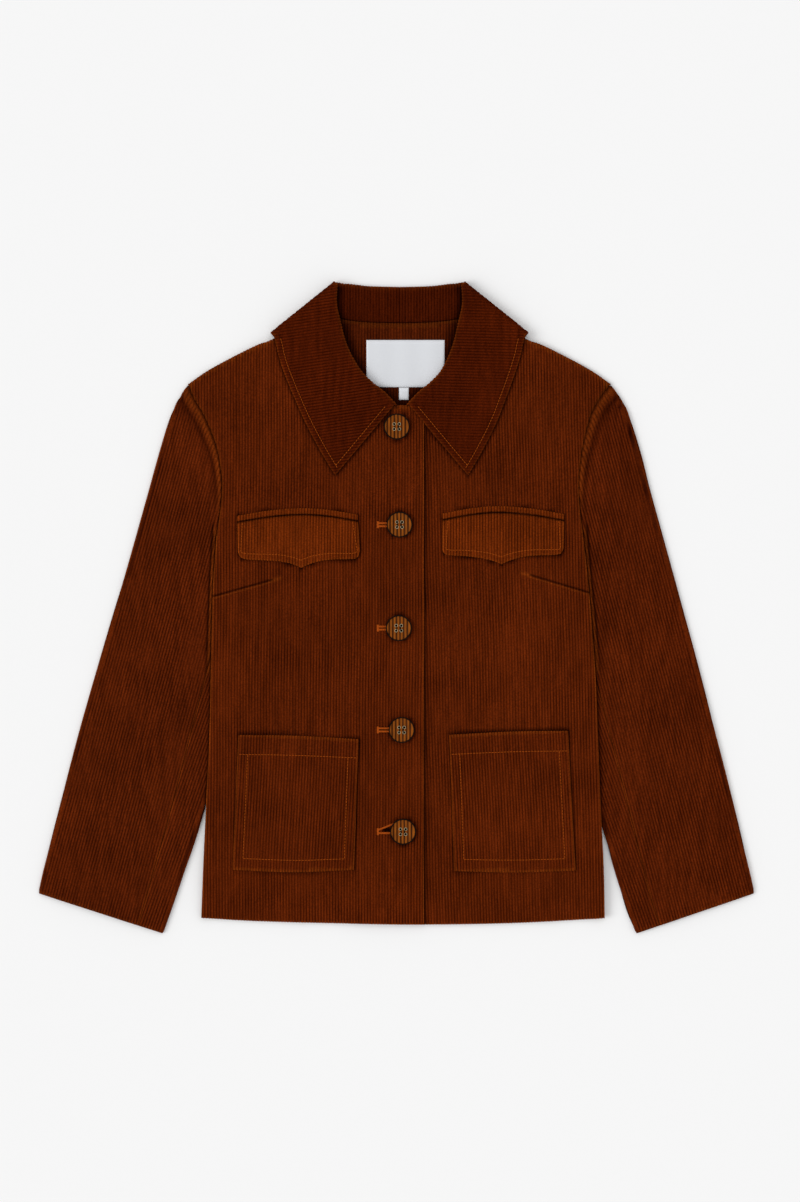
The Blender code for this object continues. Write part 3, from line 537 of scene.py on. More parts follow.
FOLDS = [  # soft ridges (+) and troughs (-): layer, start x, y, end x, y, height, half-width
    ("right_sleeve", -232.0, 500.0, -262.0, 372.0, -0.9, 15.0),
    ("right_sleeve", -193.6, 412.0, -199.6, 285.0, 1.3, 3.0),
    ("right_sleeve", -318.0, 205.0, -262.0, 168.0, -0.7, 8.0),
    ("right_sleeve", -330.0, 150.0, -276.0, 120.0, -0.8, 9.0),
    ("right_sleeve", -342.0, 70.0, -292.0, 58.0, -0.6, 9.0),
    ("right_sleeve", -240.0, 92.0, -262.0, 36.0, 0.7, 10.0),
    ("left_sleeve", 240.0, 505.0, 277.0, 330.0, 1.0, 12.0),
    ("left_sleeve", 193.6, 412.0, 205.6, 285.0, 1.3, 3.0),
    ("left_sleeve", 256.0, 470.0, 262.0, 400.0, -0.6, 12.0),
    ("left_sleeve", 262.0, 196.0, 300.0, 170.0, -0.7, 8.0),
    ("left_sleeve", 272.0, 112.0, 318.0, 92.0, -0.7, 9.0),
    ("left_sleeve", 250.0, 52.0, 272.0, 30.0, 0.7, 10.0),
    ("fronts", -160.0, 470.0, -118.0, 545.0, -0.6, 16.0),
    ("fronts", 150.0, 470.0, 112.0, 540.0, -0.6, 16.0),
    ("fronts", -150.0, 360.0, -96.0, 240.0, -0.6, 20.0),
    ("fronts", 148.0, 352.0, 96.0, 236.0, -0.6, 20.0),
    ("fronts", -112.0, 36.0, -104.0, -6.0, 0.7, 14.0),
    ("fronts", 150.0, 34.0, 160.0, -6.0, 0.8, 16.0),
    ("fronts", -18.0, 60.0, -14.0, -6.0, 0.5, 14.0),
]
DARTS = {"right": [(-196.5, 339.0), (-133.9, 356.5)], "left": [(198.6, 343.2), (137.0, 361.6)]}
DART_DEPTH, DART_WIDTH = 0.75, 1.5
DART_RIDGE = 0.5  # the cloth stands up a little just below the dart's seam
DART_FADE, DART_START = 0.3, 0.05  # shares of its length over which it fades, and starts
PUCKER = 0.14  # and a painted highlight stands for a pucker beyond its point, over this share of its length
PATCH_POCKETS = {  # top curve, foot curve
    "right": ([(-168.6, 194.8), (-106.0, 193.8), (-42.9, 190.3)],
              [(-175.1, 53.1), (-110.0, 50.6), (-47.8, 53.0)]),
    "left": ([(52.2, 194.8), (114.0, 198.2), (176.4, 199.3)],
             [(57.3, 51.7), (121.0, 50.4), (184.5, 52.3)]),
}
FLAPS = {  # the flap's top curve, and its foot with the point in the middle
    "right": (
        [(-170.2, 417.4), (-136.0, 423.0), (-102.9, 425.4), (-74.0, 423.6), (-43.6, 418.6)],
        [(-169.0, 386.5), (-167.0, 381.4), (-161.0, 378.6), (-140.0, 377.4), (-125.5, 376.4),
         (-113.4, 373.9), (-102.9, 369.8), (-102.9, 369.8), (-90.1, 375.0), (-72.5, 378.2),
         (-49.0, 378.9), (-43.4, 381.6), (-41.4, 387.5)]),
    "left": (
        [(45.3, 419.8), (76.0, 425.4), (105.5, 427.6), (140.0, 424.8), (172.5, 419.2)],
        [(45.0, 388.6), (47.0, 384.4), (52.8, 382.7), (68.0, 382.0), (84.5, 380.0), (96.6, 377.3),
         (107.1, 373.4), (107.1, 373.4), (119.9, 378.8), (137.5, 382.2), (164.0, 383.3),
         (169.8, 385.6), (171.6, 390.4)]),
}
BUTTONS = [  # x, y: down the centre front
    (-2.9, 517.6),
    (0.0, 415.0),
    (-0.8, 306.6),
    (2.2, 199.9),
    (3.7, 93.3),
]
WELT_HEIGHT, WELT_CLOTH, WELT_GAP = 7.0, 2.4, 0.5
BUTTON_RADIUS = 13.5
BUTTONHOLE_END = -22.6  # x of its outer end
GAPE_START = -16.0  # from here to its button the lowest buttonhole gapes, and its gap is painted as shade
FRONT_GRAIN = {"right": 0.3, "left": -1.6}
FRONT_SAMPLES, FRONT_ROWS = 5, 5.0
CLOSE_ROWS = 1.2  # the step between rows where the cloth turns sharply
HEM_BAND, DART_BAND = (-10.0, 4.0), (9.0, 7.0)  # y from and to, and how far below and above the dart


def fold_height(points, layer):
    """The soft ridges and troughs, each fading to its ends and to its sides."""
    total = np.zeros(points.shape[:-1])
    for name, x0, y0, x1, y1, height, half_width in FOLDS:
        if name != layer:
            continue
        start, way = np.array([x0, y0]), np.array([x1 - x0, y1 - y0])
        share = ((points - start) @ way) / (way @ way)
        off = np.linalg.norm(points - start - np.clip(share, 0, 1)[..., None] * way, axis=-1)
        fade = smooth(np.minimum(share, 1 - share) / FOLD_FADE + 0.5)
        total += height * fade * bell(off, 0, half_width)
    return total


def body_gap(points):
    """The room between the back and the fronts, which close on each other at the seams."""
    x, y = points[..., 0], points[..., 1]
    edge = np.full(points.shape[:-1], np.inf)
    for side in ("right", "left"):
        edge = np.minimum(edge, distance_to(points, curve_through(side_column(SIDE_SEAM, side), 3)))
        edge = np.minimum(edge, distance_to(points, np.array(mirrored(SHOULDER, side))))
    share = LOFT_AT_CLOSING + (1 - LOFT_AT_CLOSING) * smooth((np.abs(x) - CLOSING_WIDTH) / CLOSING_REACH)
    share = share * (1 - (1 - LOFT_ON_SLEEVE) * smooth(back_under(points) / SLEEVE_LIFT))
    loft = LOFT * share * smooth(edge / LOFT_REACH)
    by_seam = smooth(edge / SEAM_REACH)
    loft = HEM_GAP + (loft - HEM_GAP) * smooth(y / HEM_REACH) * by_seam
    by_armhole = smooth((y - UNDERARM) / ARMHOLE_REACH) * smooth(edge / ARMHOLE_REACH)
    neck = NECK_GAP * smooth(1 - outside(points, NECK_ZONE) / NECK_REACH) * by_seam
    return np.maximum.reduce([loft, ARMHOLE_GAP * by_armhole, neck, np.full_like(loft, SEAM)])


def lap_height(points):
    return (CLOTH + LAP) * smooth((points[..., 0] - LAP_START) / (LAP_FULL - LAP_START))


def front_top(points, side):
    """The face of a front, without its dart. The right front laps over the left one."""
    height = back_under(points) + CLOTH + body_gap(points) + CLOTH + fold_height(points, "fronts")
    return height + lap_height(points) if side == "right" else height


def darted(points, side):
    """How far the bust dart's seam sinks the cloth, and lifts it just below."""
    start, end = np.array(DARTS[side])
    way = end - start
    share = ((points - start) @ way) / (way @ way)
    above = ((points - start) @ np.array([-way[1], way[0]])) / np.linalg.norm(way)
    above = above if side == "right" else -above
    fade = smooth((1 - share) / DART_FADE) * smooth((share + DART_START) / DART_START)
    ridge = bell(above, -1.5 * DART_WIDTH, DART_WIDTH) * DART_RIDGE
    return (ridge - bell(above, 0, DART_WIDTH) * DART_DEPTH) * fade


def collar_places(station, sign):
    """A section of the collar in plan: its neck seam, its roll and its outer edge."""
    lean = COLLAR_LEAN * smooth((LEAN_FROM - station[1]) / (LEAN_FROM - FRONT_STATIONS[-1][1]))
    return [np.array([sign * station[i] + lean, station[i + 1]]) for i in (0, 2, 4)]


def front_neckline(side):
    """From the front's own edge, past the centre, round to the neck end of the shoulder."""
    edge = [clear_of_stand(*collar_places(station, SIGN[side])[:2]) for station in FRONT_STATIONS]
    return np.array([*mirrored(CLOSING_NECK, side), *reversed(edge), *mirrored(SHOULDER[-1:], side)])


def level_cut(line, x0, x1, count):
    """The stretch of a line from one x to another, at even steps of x."""
    xs = np.linspace(x0, x1, count)
    order = np.argsort(line[:, 0])
    return np.stack([xs, np.interp(xs, line[order, 0], line[order, 1])], axis=-1)


def front_outline(side):
    up_side = side_line(side)
    hem = level_cut(curve_through(HEM), -SIGN[side] * BUTTON_STAND, up_side[0][0], 30)
    neck = front_neckline(side)[::-1]
    return np.vstack([hem[:-1], up_side[:-1], shoulder_line(side)[:-1], neck])


def front_marks(side):
    """Painted shadows beside what lies on the front: the armhole seam, pockets, flaps, welts and collar,
    the buttons, the buttonholes and the lowest one's gape, and on the left front the right one's edge.
    The marks on the side away from the lamps are stronger."""
    made = [(side_curve(ARMHOLE, side), 0.5, 1.1)]
    for (top, foot), above, below in ((PATCH_POCKETS[side], 0.9, 0.45), (FLAPS[side], 0.9, 0.95)):
        near, far = ([top[k], foot[k]] for k in (0, -1))
        made += [(curve_through(top), above, 1.7), (curve_through(foot), below, 1.5), (near, 0.45, 1.1),
                 (far, 0.85, 1.8)]
    welt = curve_through(FLAPS[side][0]) + [0, WELT_HEIGHT]
    made += [(welt, 0.75, 1.3), ([welt[-1], FLAPS[side][0][-1]], 0.8, 1.5)]
    sections = [collar_places(station, SIGN[side]) for station in (NECK_WRAP, *FRONT_STATIONS)]
    outer_edge = curve_through([edge for _, _, edge in sections], 4)
    made += [(outer_edge, 0.75, 1.7), ([outer_edge[-1], sections[-1][1]], 0.75, 1.7)]
    if side == "left":
        lap = [(BUTTON_STAND, HEM[3][1]), (BUTTON_STAND, CLOSING_NECK[0][1])]
        return [*made, (lap, 1.0, 1.6), (lap, 0.45, 5.0)]
    for x, y in BUTTONS:
        turns = np.linspace(0, 2 * math.pi, 33)
        ring = np.array([x, y]) + BUTTON_RADIUS * np.stack([np.cos(turns), np.sin(turns)], axis=-1)
        made.append((ring, 0.8, 1.2))
    made += [([(BUTTONHOLE_END, y), (x, y)], 0.95, 0.8) for x, y in BUTTONS[1:]]
    x, y = BUTTONS[-1]
    return [*made, ([(GAPE_START, y + 0.6), (x - BUTTON_RADIUS, y + 2.6)], 1.3, 2.4)]


fronts = {}
for side in ("right", "left"):
    dart = np.array(DARTS[side])
    pucker_highlight = [dart[-1], dart[-1] + PUCKER * (dart[-1] - dart[0])]
    low, high = dart[:, 1].min() - DART_BAND[0], dart[:, 1].max() + DART_BAND[1]
    bands = [(*HEM_BAND, CLOSE_ROWS), (low, high, CLOSE_ROWS)]
    # Shade is painted along each dart's seam, and highlights on the ridge just below it and beyond its
    # point.
    fronts[side] = laid_cloth(
        f"jacket_front_{side}", front_outline(side), FRONT_GRAIN[side],
        lambda at, side=side: front_top(at, side) + darted(at, side), CLOTH, body_corduroy,
        f"front_{side}", FRONT_SAMPLES, FRONT_ROWS, bands,
        shade_marks=[*front_marks(side), (dart + [0, 0.5 * DART_WIDTH], 0.9, 1.1)],
        wear_and_highlight=[(dart - [0, DART_WIDTH], 0.6, 0.7), (pucker_highlight, 0.5, 2.0)], rubbed=0.7)


# The facing inside the neck: a shaped piece of the same corduroy, stitched round the back neckline, and
# on it a bare woven satin label with a bare size tab below.

FACING_CLOTH, FACING_SAMPLES, FACING_ROWS = 1.2, 5, 5.0
FACING_HALF_WIDTH = 72.0
FACING_FOOT = 525.0
FACING_FLARE, FACING_BOW = 4.0, 8.0
FACING_SET_BACK = -0.9
FACING_SHADE = 34.0  # how far up it is dark, where the fronts close over it
LABEL_CLOTH = 0.7
LABELS = {  # lowest and highest x, lowest and highest y
    "label": (-34.7, 47.3, 559.3, 608.6),
    "size_tab": (-0.5, 9.6, 546.0, 558.9),
}
LABEL_SAMPLES, LABEL_ROWS = 3, 3.0
LABEL_RIPPLE, RIPPLE_LENGTH = 0.25, 27.0


def satin(name, ground, selvedge):
    """Woven polyester satin: cool white, smooth and faintly glossy, with a tighter, whiter selvedge."""
    material, tree = new_material(name)
    place = add_node(tree, "TexCoord", output="Object")
    pale_edge_and_highlight = add_node(tree, "Attribute", output="Fac", attribute_name="pale_edge_and_highlight")
    weave = add_node(tree, "TexWave", {"Vector": place, "Scale": 1 / (2.0 * MM), "Distortion": 0.4}, "Fac",
                     bands_direction="Y")
    base = add_node(tree, "Mix", {0: pale_edge_and_highlight, 6: linear(ground), 7: linear(selvedge)}, 2, data_type="RGBA")
    ribs = add_node(tree, "Bump", {"Strength": 0.25, "Distance": 0.1 * MM, "Height": weave})
    shader = add_node(tree, "BsdfPrincipled", {
        "Base Color": base, "Roughness": 0.45, "Sheen Weight": 0.1, "Normal": ribs})
    add_node(tree, "OutputMaterial", {"Surface": shader})
    return material


def facing_face(points):
    return back_under(points) + CLOTH + LIE + FACING_CLOTH


def label_face(points):
    ripple = LABEL_RIPPLE * np.sin(2 * math.pi * points[..., 0] / RIPPLE_LENGTH)
    return facing_face(points) + LIE + LABEL_CLOTH + ripple


middle = level_cut(back_neckline(), -FACING_HALF_WIDTH, FACING_HALF_WIDTH, 40) - [0.0, FACING_SET_BACK]
corner = np.array([FACING_HALF_WIDTH + FACING_FLARE, FACING_FOOT + FACING_BOW])
foot = curve_through([corner * [-1, 1], (0, FACING_FOOT), corner], 12)
rolls = [[collar_places(station, sign)[1] for station in (NECK_WRAP, *FRONT_STATIONS)] for sign in (-1, 1)]
# A darker copy of the corduroy: painted shade inside the neck.
shaded_facing_corduroy = corduroy("corduroy_facing_painted_shade", "#190402", "#521d06", "#6e300b")
# More shade is painted along the neck seam, low down where the fronts close over it, and beside the
# collar's roll.
laid_cloth("neck_facing", np.vstack([foot, middle[::-1]]), 0.0, facing_face, FACING_CLOTH,
           shaded_facing_corduroy, "back_facing", FACING_SAMPLES, FACING_ROWS,
           shade_marks=[(middle, 0.45, 2.5), (foot, 0.9, FACING_SHADE), *((roll, 0.8, 7.0) for roll in rolls)])
label_satin = satin("label_satin", "#d5d7db", "#e6e8ec")
for name, (x0, x1, y0, y1) in LABELS.items():
    box = np.array([(x0, y0), (x1, y0), (x1, y1), (x0, y1)])
    laid_cloth(f"neck_{name}", box, 0.0, label_face, LABEL_CLOTH, label_satin, name,
               LABEL_SAMPLES, LABEL_ROWS, depth=0.0)


# The sleeves: two pieces each, pressed flat, with folded edges. The top sleeve goes over the outer
# fold and the under sleeve over the inner one, and the cap is eased into the armhole over a soft ridge.

SLEEVE_WIDTH = 150.0
SLEEVE_FOLD = 4.4
SLEEVE_CLOSED = 2 * CLOTH + SEAM
SLEEVE_LOFT = 1.5
LOFT_FROM_OUTER, LOFT_FROM_INNER = 0.22, 0.30
CLOSED_REACH = 30.0
FOREARM_SEAM = 0.80
HINDARM_SHARE = 0.46
ARMHOLE_SEAM = -0.35  # the sleeve's edge goes in under the body's
SLEEVE_OUTER = [  # y, x of the right sleeve's folded edge, x of the left one's
    (561.5, -223.0, 222.8),
    (535.5, -237.8, 238.9),
    (493.5, -251.5, 252.5),
    (451.5, -263.2, 263.4),
    (388.5, -280.9, 280.7),
    (325.5, -299.6, 297.9),
    (262.5, -317.9, 315.0),
    (199.5, -335.9, 331.3),
    (136.5, -352.4, 347.0),
    (73.5, -368.9, 362.6),
    (28.4, -379.2, 372.6),
]
SLEEVE_GRAIN = {"right": 15.5, "left": -15.2}
UNDER_GRAIN = {"right": 19.3, "left": -19.3}
SEAM_RUB = 0.35  # a plain seam is rubbed less than a pressed edge
CAP_RIDGE, CAP_RIDGE_AT = 1.6, 0.45  # how high, and how far out in widths of the cap's ridge
CAP_VALLEY, CAP_VALLEY_AT = 0.5, 1.35
CAP_SPREAD = 0.35
# a painted highlight along the eased ridge
CAP_HIGHLIGHT, CAP_HIGHLIGHT_AT, CAP_HIGHLIGHT_SPREAD = 0.55, 0.5, 0.3
# painted shade in the valley beyond the ridge
CAP_VALLEY_SHADE, CAP_VALLEY_SHADE_AT = 0.55, 1.3
# and painted shade along the armhole seam
ARMHOLE_SHADE, ARMHOLE_SPREAD = 0.75, 0.12
CAP_MARKS_FROM = 60.0  # above the underarm they have their whole strength
CAP_WIDTH = [(405.0, 4.0), (450.0, 5.0), (500.0, 8.0), (548.0, 11.0)]  # y, how wide the eased ridge is
CAP_TURN = [(405.0, 0.4), (500.0, 0.65), (548.0, 0.85)]  # y, how far the wales swing round on it
UNDERARM_FADE = 12.0
STRIP_CREASE = {  # the far side of the narrow fold that shows beside the body, under the arm, where shade is painted
    "right": [(-195.8, 414.8), (-199.0, 361.0), (-201.5, 300.0), (-203.0, 262.0)],
    "left": [(196.4, 414.8), (202.0, 352.0), (207.0, 303.8), (210.5, 262.0)],
}
STRIP_POINTS = 25  # of its lines, from the underarm down, between which it stands up and a highlight is painted on it
SLEEVE_ROWS = 118
TOP_COLUMNS, TOP_UNDER_COLUMNS = 205, 60
UNDER_TOP_COLUMNS, UNDER_COLUMNS = 52, 90
FOLD_TURNS = np.linspace(90, -90, 9)
BESIDE_FOLD = 0.03  # the share of the width at which the flat part ends
LINING_STEP = 4  # the inside has a point at one in so many of the outside's


def along(line, shares):
    """The points at these shares of the line's length."""
    steps = np.linalg.norm(np.diff(line, axis=0), axis=1)
    length = np.concatenate([[0.0], np.cumsum(steps)])
    at = np.asarray(shares) * length[-1]
    return np.stack([np.interp(at, length, line[:, k]) for k in range(line.shape[1])], axis=-1)


def patch(foot, top, near, far, across, up):
    """Points between four boundary lines: foot and top run near to far, near and far run foot to top."""
    u, v = np.meshgrid(across, up)
    u, v = u[..., None], v[..., None]
    corners = (1 - u) * (1 - v) * foot[0] + u * (1 - v) * foot[-1]
    corners = corners + (1 - u) * v * top[0] + u * v * top[-1]
    rows = (1 - v) * along(foot, across)[None] + v * along(top, across)[None]
    columns = (1 - u) * along(near, up)[:, None] + u * along(far, up)[:, None]
    return rows + columns - corners


def cross_of(face):
    """The grid's normals."""
    return unit(np.cross(np.gradient(face, axis=1), np.gradient(face, axis=0)))


def edge_distance(face):
    """How far each point of a grid is from the nearest of its four edges, along the cloth."""
    best = np.full(face.shape[:2], np.inf)
    for axis in (0, 1):
        step = np.linalg.norm(np.diff(face, axis=axis), axis=-1)
        start = np.insert(np.cumsum(step, axis=axis), 0, 0, axis=axis)
        end = np.take(start, [-1], axis=axis) - start
        best = np.minimum(best, np.minimum(start, end))
    return best


def grid_loop(rows, columns):
    """The points round a grid's edge, with each one's place on it from 0 to 4."""
    j, i = rows - 1, columns - 1
    cells = [(0, k) for k in range(i)] + [(k, i) for k in range(j)]
    cells += [(j, i - k) for k in range(i)] + [(j - k, 0) for k in range(j)]
    places = [k / i for k in range(i)] + [1 + k / j for k in range(j)]
    places += [2 + k / i for k in range(i)] + [3 + k / j for k in range(j)]
    return [r * columns + c for r, c in cells], places


def grid_faces(rows, columns, start=0):
    j, i = np.meshgrid(np.arange(rows - 1), np.arange(columns - 1), indexing="ij")
    a = (j * columns + i).ravel() + start
    return np.stack([a, a + 1, a + columns + 1, a + columns], axis=-1).tolist()


def strip_between(fine, fine_at, coarse, coarse_at):
    """Triangles between the edges of two grids."""
    fine, coarse = [*fine, fine[0]], [*coarse, coarse[0]]
    fine_at, coarse_at = [*fine_at, 4.0], [*coarse_at, 4.0]
    i, j, made = 0, 0, []
    while i < len(fine) - 1 or j < len(coarse) - 1:
        if j == len(coarse) - 1 or (i < len(fine) - 1 and fine_at[i + 1] <= coarse_at[j + 1] + TINY):
            made.append([fine[i], fine[i + 1], coarse[j]])
            i += 1
        else:
            made.append([fine[i], coarse[j + 1], coarse[j]])
            j += 1
    return made


def sparse(count, step):
    return np.unique([*range(0, count - 1, step), count - 1])


def shaped_cloth(name, face, wales, thickness, material, node, upwards, painted_shade, wear_and_highlight, free, press=0.0):
    """A piece of cloth on a grid of points that bends round folds. wales counts them at each point,
    upwards is the part of the grid whose face looks up, free are its free edges, each with the row or
    column next to it, and press sinks the face."""
    normals = cross_of(face)
    if normals[upwards][..., 2].mean() < 0:
        normals = -normals
    off = edge_distance(face)
    pile = pile_height(wales)
    roll = EDGE_DROP * (1 - np.clip(off / EDGE_WIDTH, 0, 1)) ** 2
    sink = WALE_DEPTH * (1 - pile) + roll + press
    outer = face - normals * sink[..., None]
    for edge, next_in in free:
        outer[edge] += unit(face[next_in] - face[edge]) * (SCALLOP * (1 - pile[edge]))[..., None]
    rows, columns = (sparse(count, LINING_STEP) for count in face.shape[:2])
    inner = (face - normals * thickness)[np.ix_(rows, columns)]
    whole = np.vstack([outer.reshape(-1, 3), inner.reshape(-1, 3)])
    start = face.shape[0] * face.shape[1]
    faces = grid_faces(*face.shape[:2])
    faces += [face_[::-1] for face_ in grid_faces(len(rows), len(columns), start)]
    fine, fine_at = grid_loop(*face.shape[:2])
    coarse, coarse_at = grid_loop(len(rows), len(columns))
    faces += strip_between(fine, fine_at, [start + k for k in coarse], coarse_at)
    none = np.zeros(len(rows) * len(columns))
    # The colour is paler where the pile is worn and where highlights are painted, and darker where shade is
    # painted.
    attributes = {"pile": pile, "pale_edge_and_highlight": wear_and_highlight, "painted_shade": painted_shade}
    attributes = {key: np.concatenate([values.ravel(), none]) for key, values in attributes.items()}
    widths = np.linalg.norm(np.diff(face, axis=1), axis=-1)
    lengths = np.linalg.norm(np.diff(face, axis=0), axis=-1)
    area = (widths[:-1] + widths[1:]).mean() / 2 * lengths.mean() * widths[:-1].size
    size = (widths.sum(axis=1).max(), lengths.sum(axis=0).max())
    return finished(name, whole, faces, attributes, material, node, min(area, size[0] * size[1]))


def sleeve_edges(side):
    """The sleeve's cuff, armhole and hidden corner, outer edge and inner edge, in plan."""
    outer, inner = (side_curve(table, side)[::-1] for table in (SLEEVE_OUTER, SLEEVE_INNER))
    armhole = side_curve(ARMHOLE, side)[::-1] + [SIGN[side] * ARMHOLE_SEAM, 0.0]
    armhole[0] = outer[-1]
    corner = np.array([armhole[-1], inner[-1]])
    return np.array([outer[0], inner[0]]), np.vstack([armhole, corner[1:]]), outer, inner, corner, armhole


def cap_places(points, armhole):
    """How far out on the eased ridge each point is, from 0 at the seam to 1 at its far side, and the
    ridge's width there."""
    width = np.interp(points[..., 1], *np.array(CAP_WIDTH).T)
    return distance_to(points, armhole) / width, width


def sleeve_face(side, stations):
    """The sleeve's face and its wales at stations round its ring: ("top" or "under", share of the
    width from the outer fold), or ("outer" or "inner", degrees round that fold)."""
    foot, top, outer, inner, corner, armhole = sleeve_edges(side)
    fold_share = SLEEVE_FOLD / 2 / SLEEVE_WIDTH
    up = np.linspace(0, 1, SLEEVE_ROWS)
    columns = []
    for place, value in stations:
        share, turn = value, (90 if place == "top" else -90)
        if place in ("outer", "inner"):
            turn = value
            inset = fold_share * (1 - math.cos(math.radians(turn)))
            share = inset if place == "outer" else 1 - inset
        points = patch(foot, top, outer, inner, np.array([share]), up)[:, 0]
        closed = smooth(1 - distance_to(points, corner) / CLOSED_REACH)
        closed = closed * smooth((UNDERARM + UNDERARM_FADE / 2 - points[:, 1]) / UNDERARM_FADE)
        edge = SLEEVE_FOLD + (SLEEVE_CLOSED - SLEEVE_FOLD) * closed
        height = edge * (1 + math.sin(math.radians(turn))) / 2
        if place == "top":
            puff = SLEEVE_LOFT * smooth(min(share / LOFT_FROM_OUTER, (1 - share) / LOFT_FROM_INNER))
            folds = fold_height(points, f"{side}_sleeve") * smooth((1 - share) / LOFT_FROM_INNER)
            out, _ = cap_places(points, armhole)
            ridge = CAP_RIDGE * bell(out, CAP_RIDGE_AT, CAP_SPREAD)
            ridge -= CAP_VALLEY * bell(out, CAP_VALLEY_AT, CAP_SPREAD)
            height = height + (puff + folds + ridge) * (1 - closed)
        columns.append(with_height(points, height))
    return np.stack(columns, axis=1)


def swung_wales(side, face, angle):
    """The wales counted across a grid, the same way on both layers of a fold. On the ridge of the cap
    they swing round to cross it."""
    points = face[..., :2]
    out, width = cap_places(points, sleeve_edges(side)[5])
    turn = np.interp(points[..., 1], *np.array(CAP_TURN).T) * (points[..., 1] > UNDERARM)
    swing = turn * width * np.clip(1 - out, 0, 1) ** 2 / 2
    return ((points @ grain_axes(angle))[..., 0] + SIGN[side] * swing) / WALE


def sleeve_marks(side, face):
    """Painted shade on the sleeve, at the armhole seam, in the valley beyond the cap's ridge, along the
    body's edge and in the crease under the arm. And where it is paler: worn along its seams and outer
    fold, with painted highlights on the cap's ridge and on the narrow fold under the arm.
    """
    points = face[..., :2]
    out, _ = cap_places(points, sleeve_edges(side)[5])
    high = smooth((points[..., 1] - UNDERARM) / CAP_MARKS_FROM)
    painted_shade = np.maximum(CAP_VALLEY_SHADE * bell(out, CAP_VALLEY_SHADE_AT, CAP_SPREAD) * high,
                       ARMHOLE_SHADE * bell(out, 0, ARMHOLE_SPREAD))
    body_edge, crease = side_curve(SIDE_SEAM, side), curve_through(STRIP_CREASE[side])
    near, strip = crease[:STRIP_POINTS], (crease[:STRIP_POINTS] + body_edge[::-1][:STRIP_POINTS]) / 2
    painted_shade = np.maximum(painted_shade, marked(points, [(body_edge, 1.0, 1.4), (near, 0.9, 1.2), (crease, 0.5, 1.1)]))
    wear_and_highlight = marked(points, [(strip, 0.8, 1.4), (sleeve_edges(side)[2], 0.4, 1.5)])
    wear_and_highlight = np.maximum(wear_and_highlight, CAP_HIGHLIGHT * bell(out, CAP_HIGHLIGHT_AT, CAP_HIGHLIGHT_SPREAD) * high)
    wear_and_highlight = np.maximum(wear_and_highlight, SEAM_RUB * smooth(1 - edge_distance(face) / RUB_WIDTH))
    return painted_shade, wear_and_highlight


def stations_round(start, top_count, fold, beside, under_count, end):
    """From one share of the width on the top, round a fold, to another share on the underside."""
    return [*(("top", share) for share in np.linspace(start, beside, top_count)),
            *((fold, turn) for turn in FOLD_TURNS),
            *(("under", share) for share in np.linspace(beside, end, under_count))]


sleeve_corduroy = corduroy("corduroy_sleeve", "#1b0402", "#5c2107", "#7b360c")
for side in ("right", "left"):
    gap = SEAM / SLEEVE_WIDTH
    upper = stations_round(FOREARM_SEAM - gap, TOP_COLUMNS, "outer", BESIDE_FOLD,
                           TOP_UNDER_COLUMNS, HINDARM_SHARE - gap)
    lower = stations_round(FOREARM_SEAM, UNDER_TOP_COLUMNS, "inner", 1 - BESIDE_FOLD,
                           UNDER_COLUMNS, HINDARM_SHARE)
    for layer, stations, angle, count in (("top", upper, SLEEVE_GRAIN[side], TOP_COLUMNS),
                                          ("under", lower, UNDER_GRAIN[side], UNDER_TOP_COLUMNS)):
        face = sleeve_face(side, stations)
        shaped_cloth(f"sleeve_{layer}_{side}", face, swung_wales(side, face, angle), CLOTH, sleeve_corduroy,
                     f"{layer}_sleeve_{side}", np.s_[:, :count], *sleeve_marks(side, face), [(0, 1)])


# The collar: one piece of two pressed plies round the neck, with its stand inside and its fall folded
# over. Its wales run from the neck outwards, and it is topstitched just inside its edge.

COLLAR_CLOTH = 2.2
COLLAR_CLEAR = 1.3
HAIRPIN = 5.1  # stand and fall together, at the roll
WRAP_REST = (92.0, 618.0)
SHOULDER_PULL, PULL_FROM, PULL_OVER = 24.0, 585.0, 30.0
PULL_PLACES = 4
STAND_POINTS, ROLL_POINTS, FALL_POINTS = 12, 9, 96
BACK_SECTIONS, WRAP_SECTIONS, FRONT_SECTIONS = 90, 14, 205
COLLAR_GRAIN = {"right": 8.4, "left": -1.4}  # how far the fall's wales rise to the wearer's left
COLLAR_STITCH = 6.3  # inside the edge
EDGE_STITCHED, END_STITCHED = (0.02, 0.965), (0.085, 0.93)  # shares of the outer and the front edge
STITCH_SINK, STITCH_WIDTH = 0.55, 1.3
# the roll is worn paler, and a highlight is painted on it
ROLL_WEAR_AND_HIGHLIGHT, ROLL_WEAR_AND_HIGHLIGHT_WIDTH = 0.9, 2.6
COLLAR_EDGE_RUB = 0.35
# painted shade in the stitches' groove
STITCH_SHADE = 0.35
IN_FOLD, IN_FOLD_WIDTH = 0.85, 6.0  # painted shade: the stand is dark inside the fold at the front
SWELL_SHARE = 0.16  # of the back's half, from the shoulder's end
STAND_SHADE = 0.22  # the rest of the stand is a little dark


def wrap_direction(sign):
    """Straight out over the shoulder's end, square to the fold that goes round it."""
    _, _, roll_x, roll_y, edge_x, edge_y = NECK_WRAP
    length = math.hypot(edge_x - roll_x, edge_y - roll_y)
    return np.array([sign * (roll_y - edge_y), edge_x - roll_x]) / length


def shown_top(points):
    """The face of the two fronts together, carried on smoothly past the right front's edge."""
    on_lap = smooth((BUTTON_STAND + LAP_END - points[..., 0]) / LAP_END)
    return front_top(points, "left") + lap_height(points) * on_lap


def collar_rest(points, sign):
    """What the fall lies on. Near the shoulder seam it stays as high as it is further in."""
    pull = SHOULDER_PULL * smooth((points[..., 1] - PULL_FROM) / PULL_OVER)
    shares = np.linspace(0, 1, PULL_PLACES)
    way = wrap_direction(sign)
    further_in = points[..., None, :] - (pull[..., None] * shares)[..., None] * way
    return shown_top(further_in).max(axis=-1)


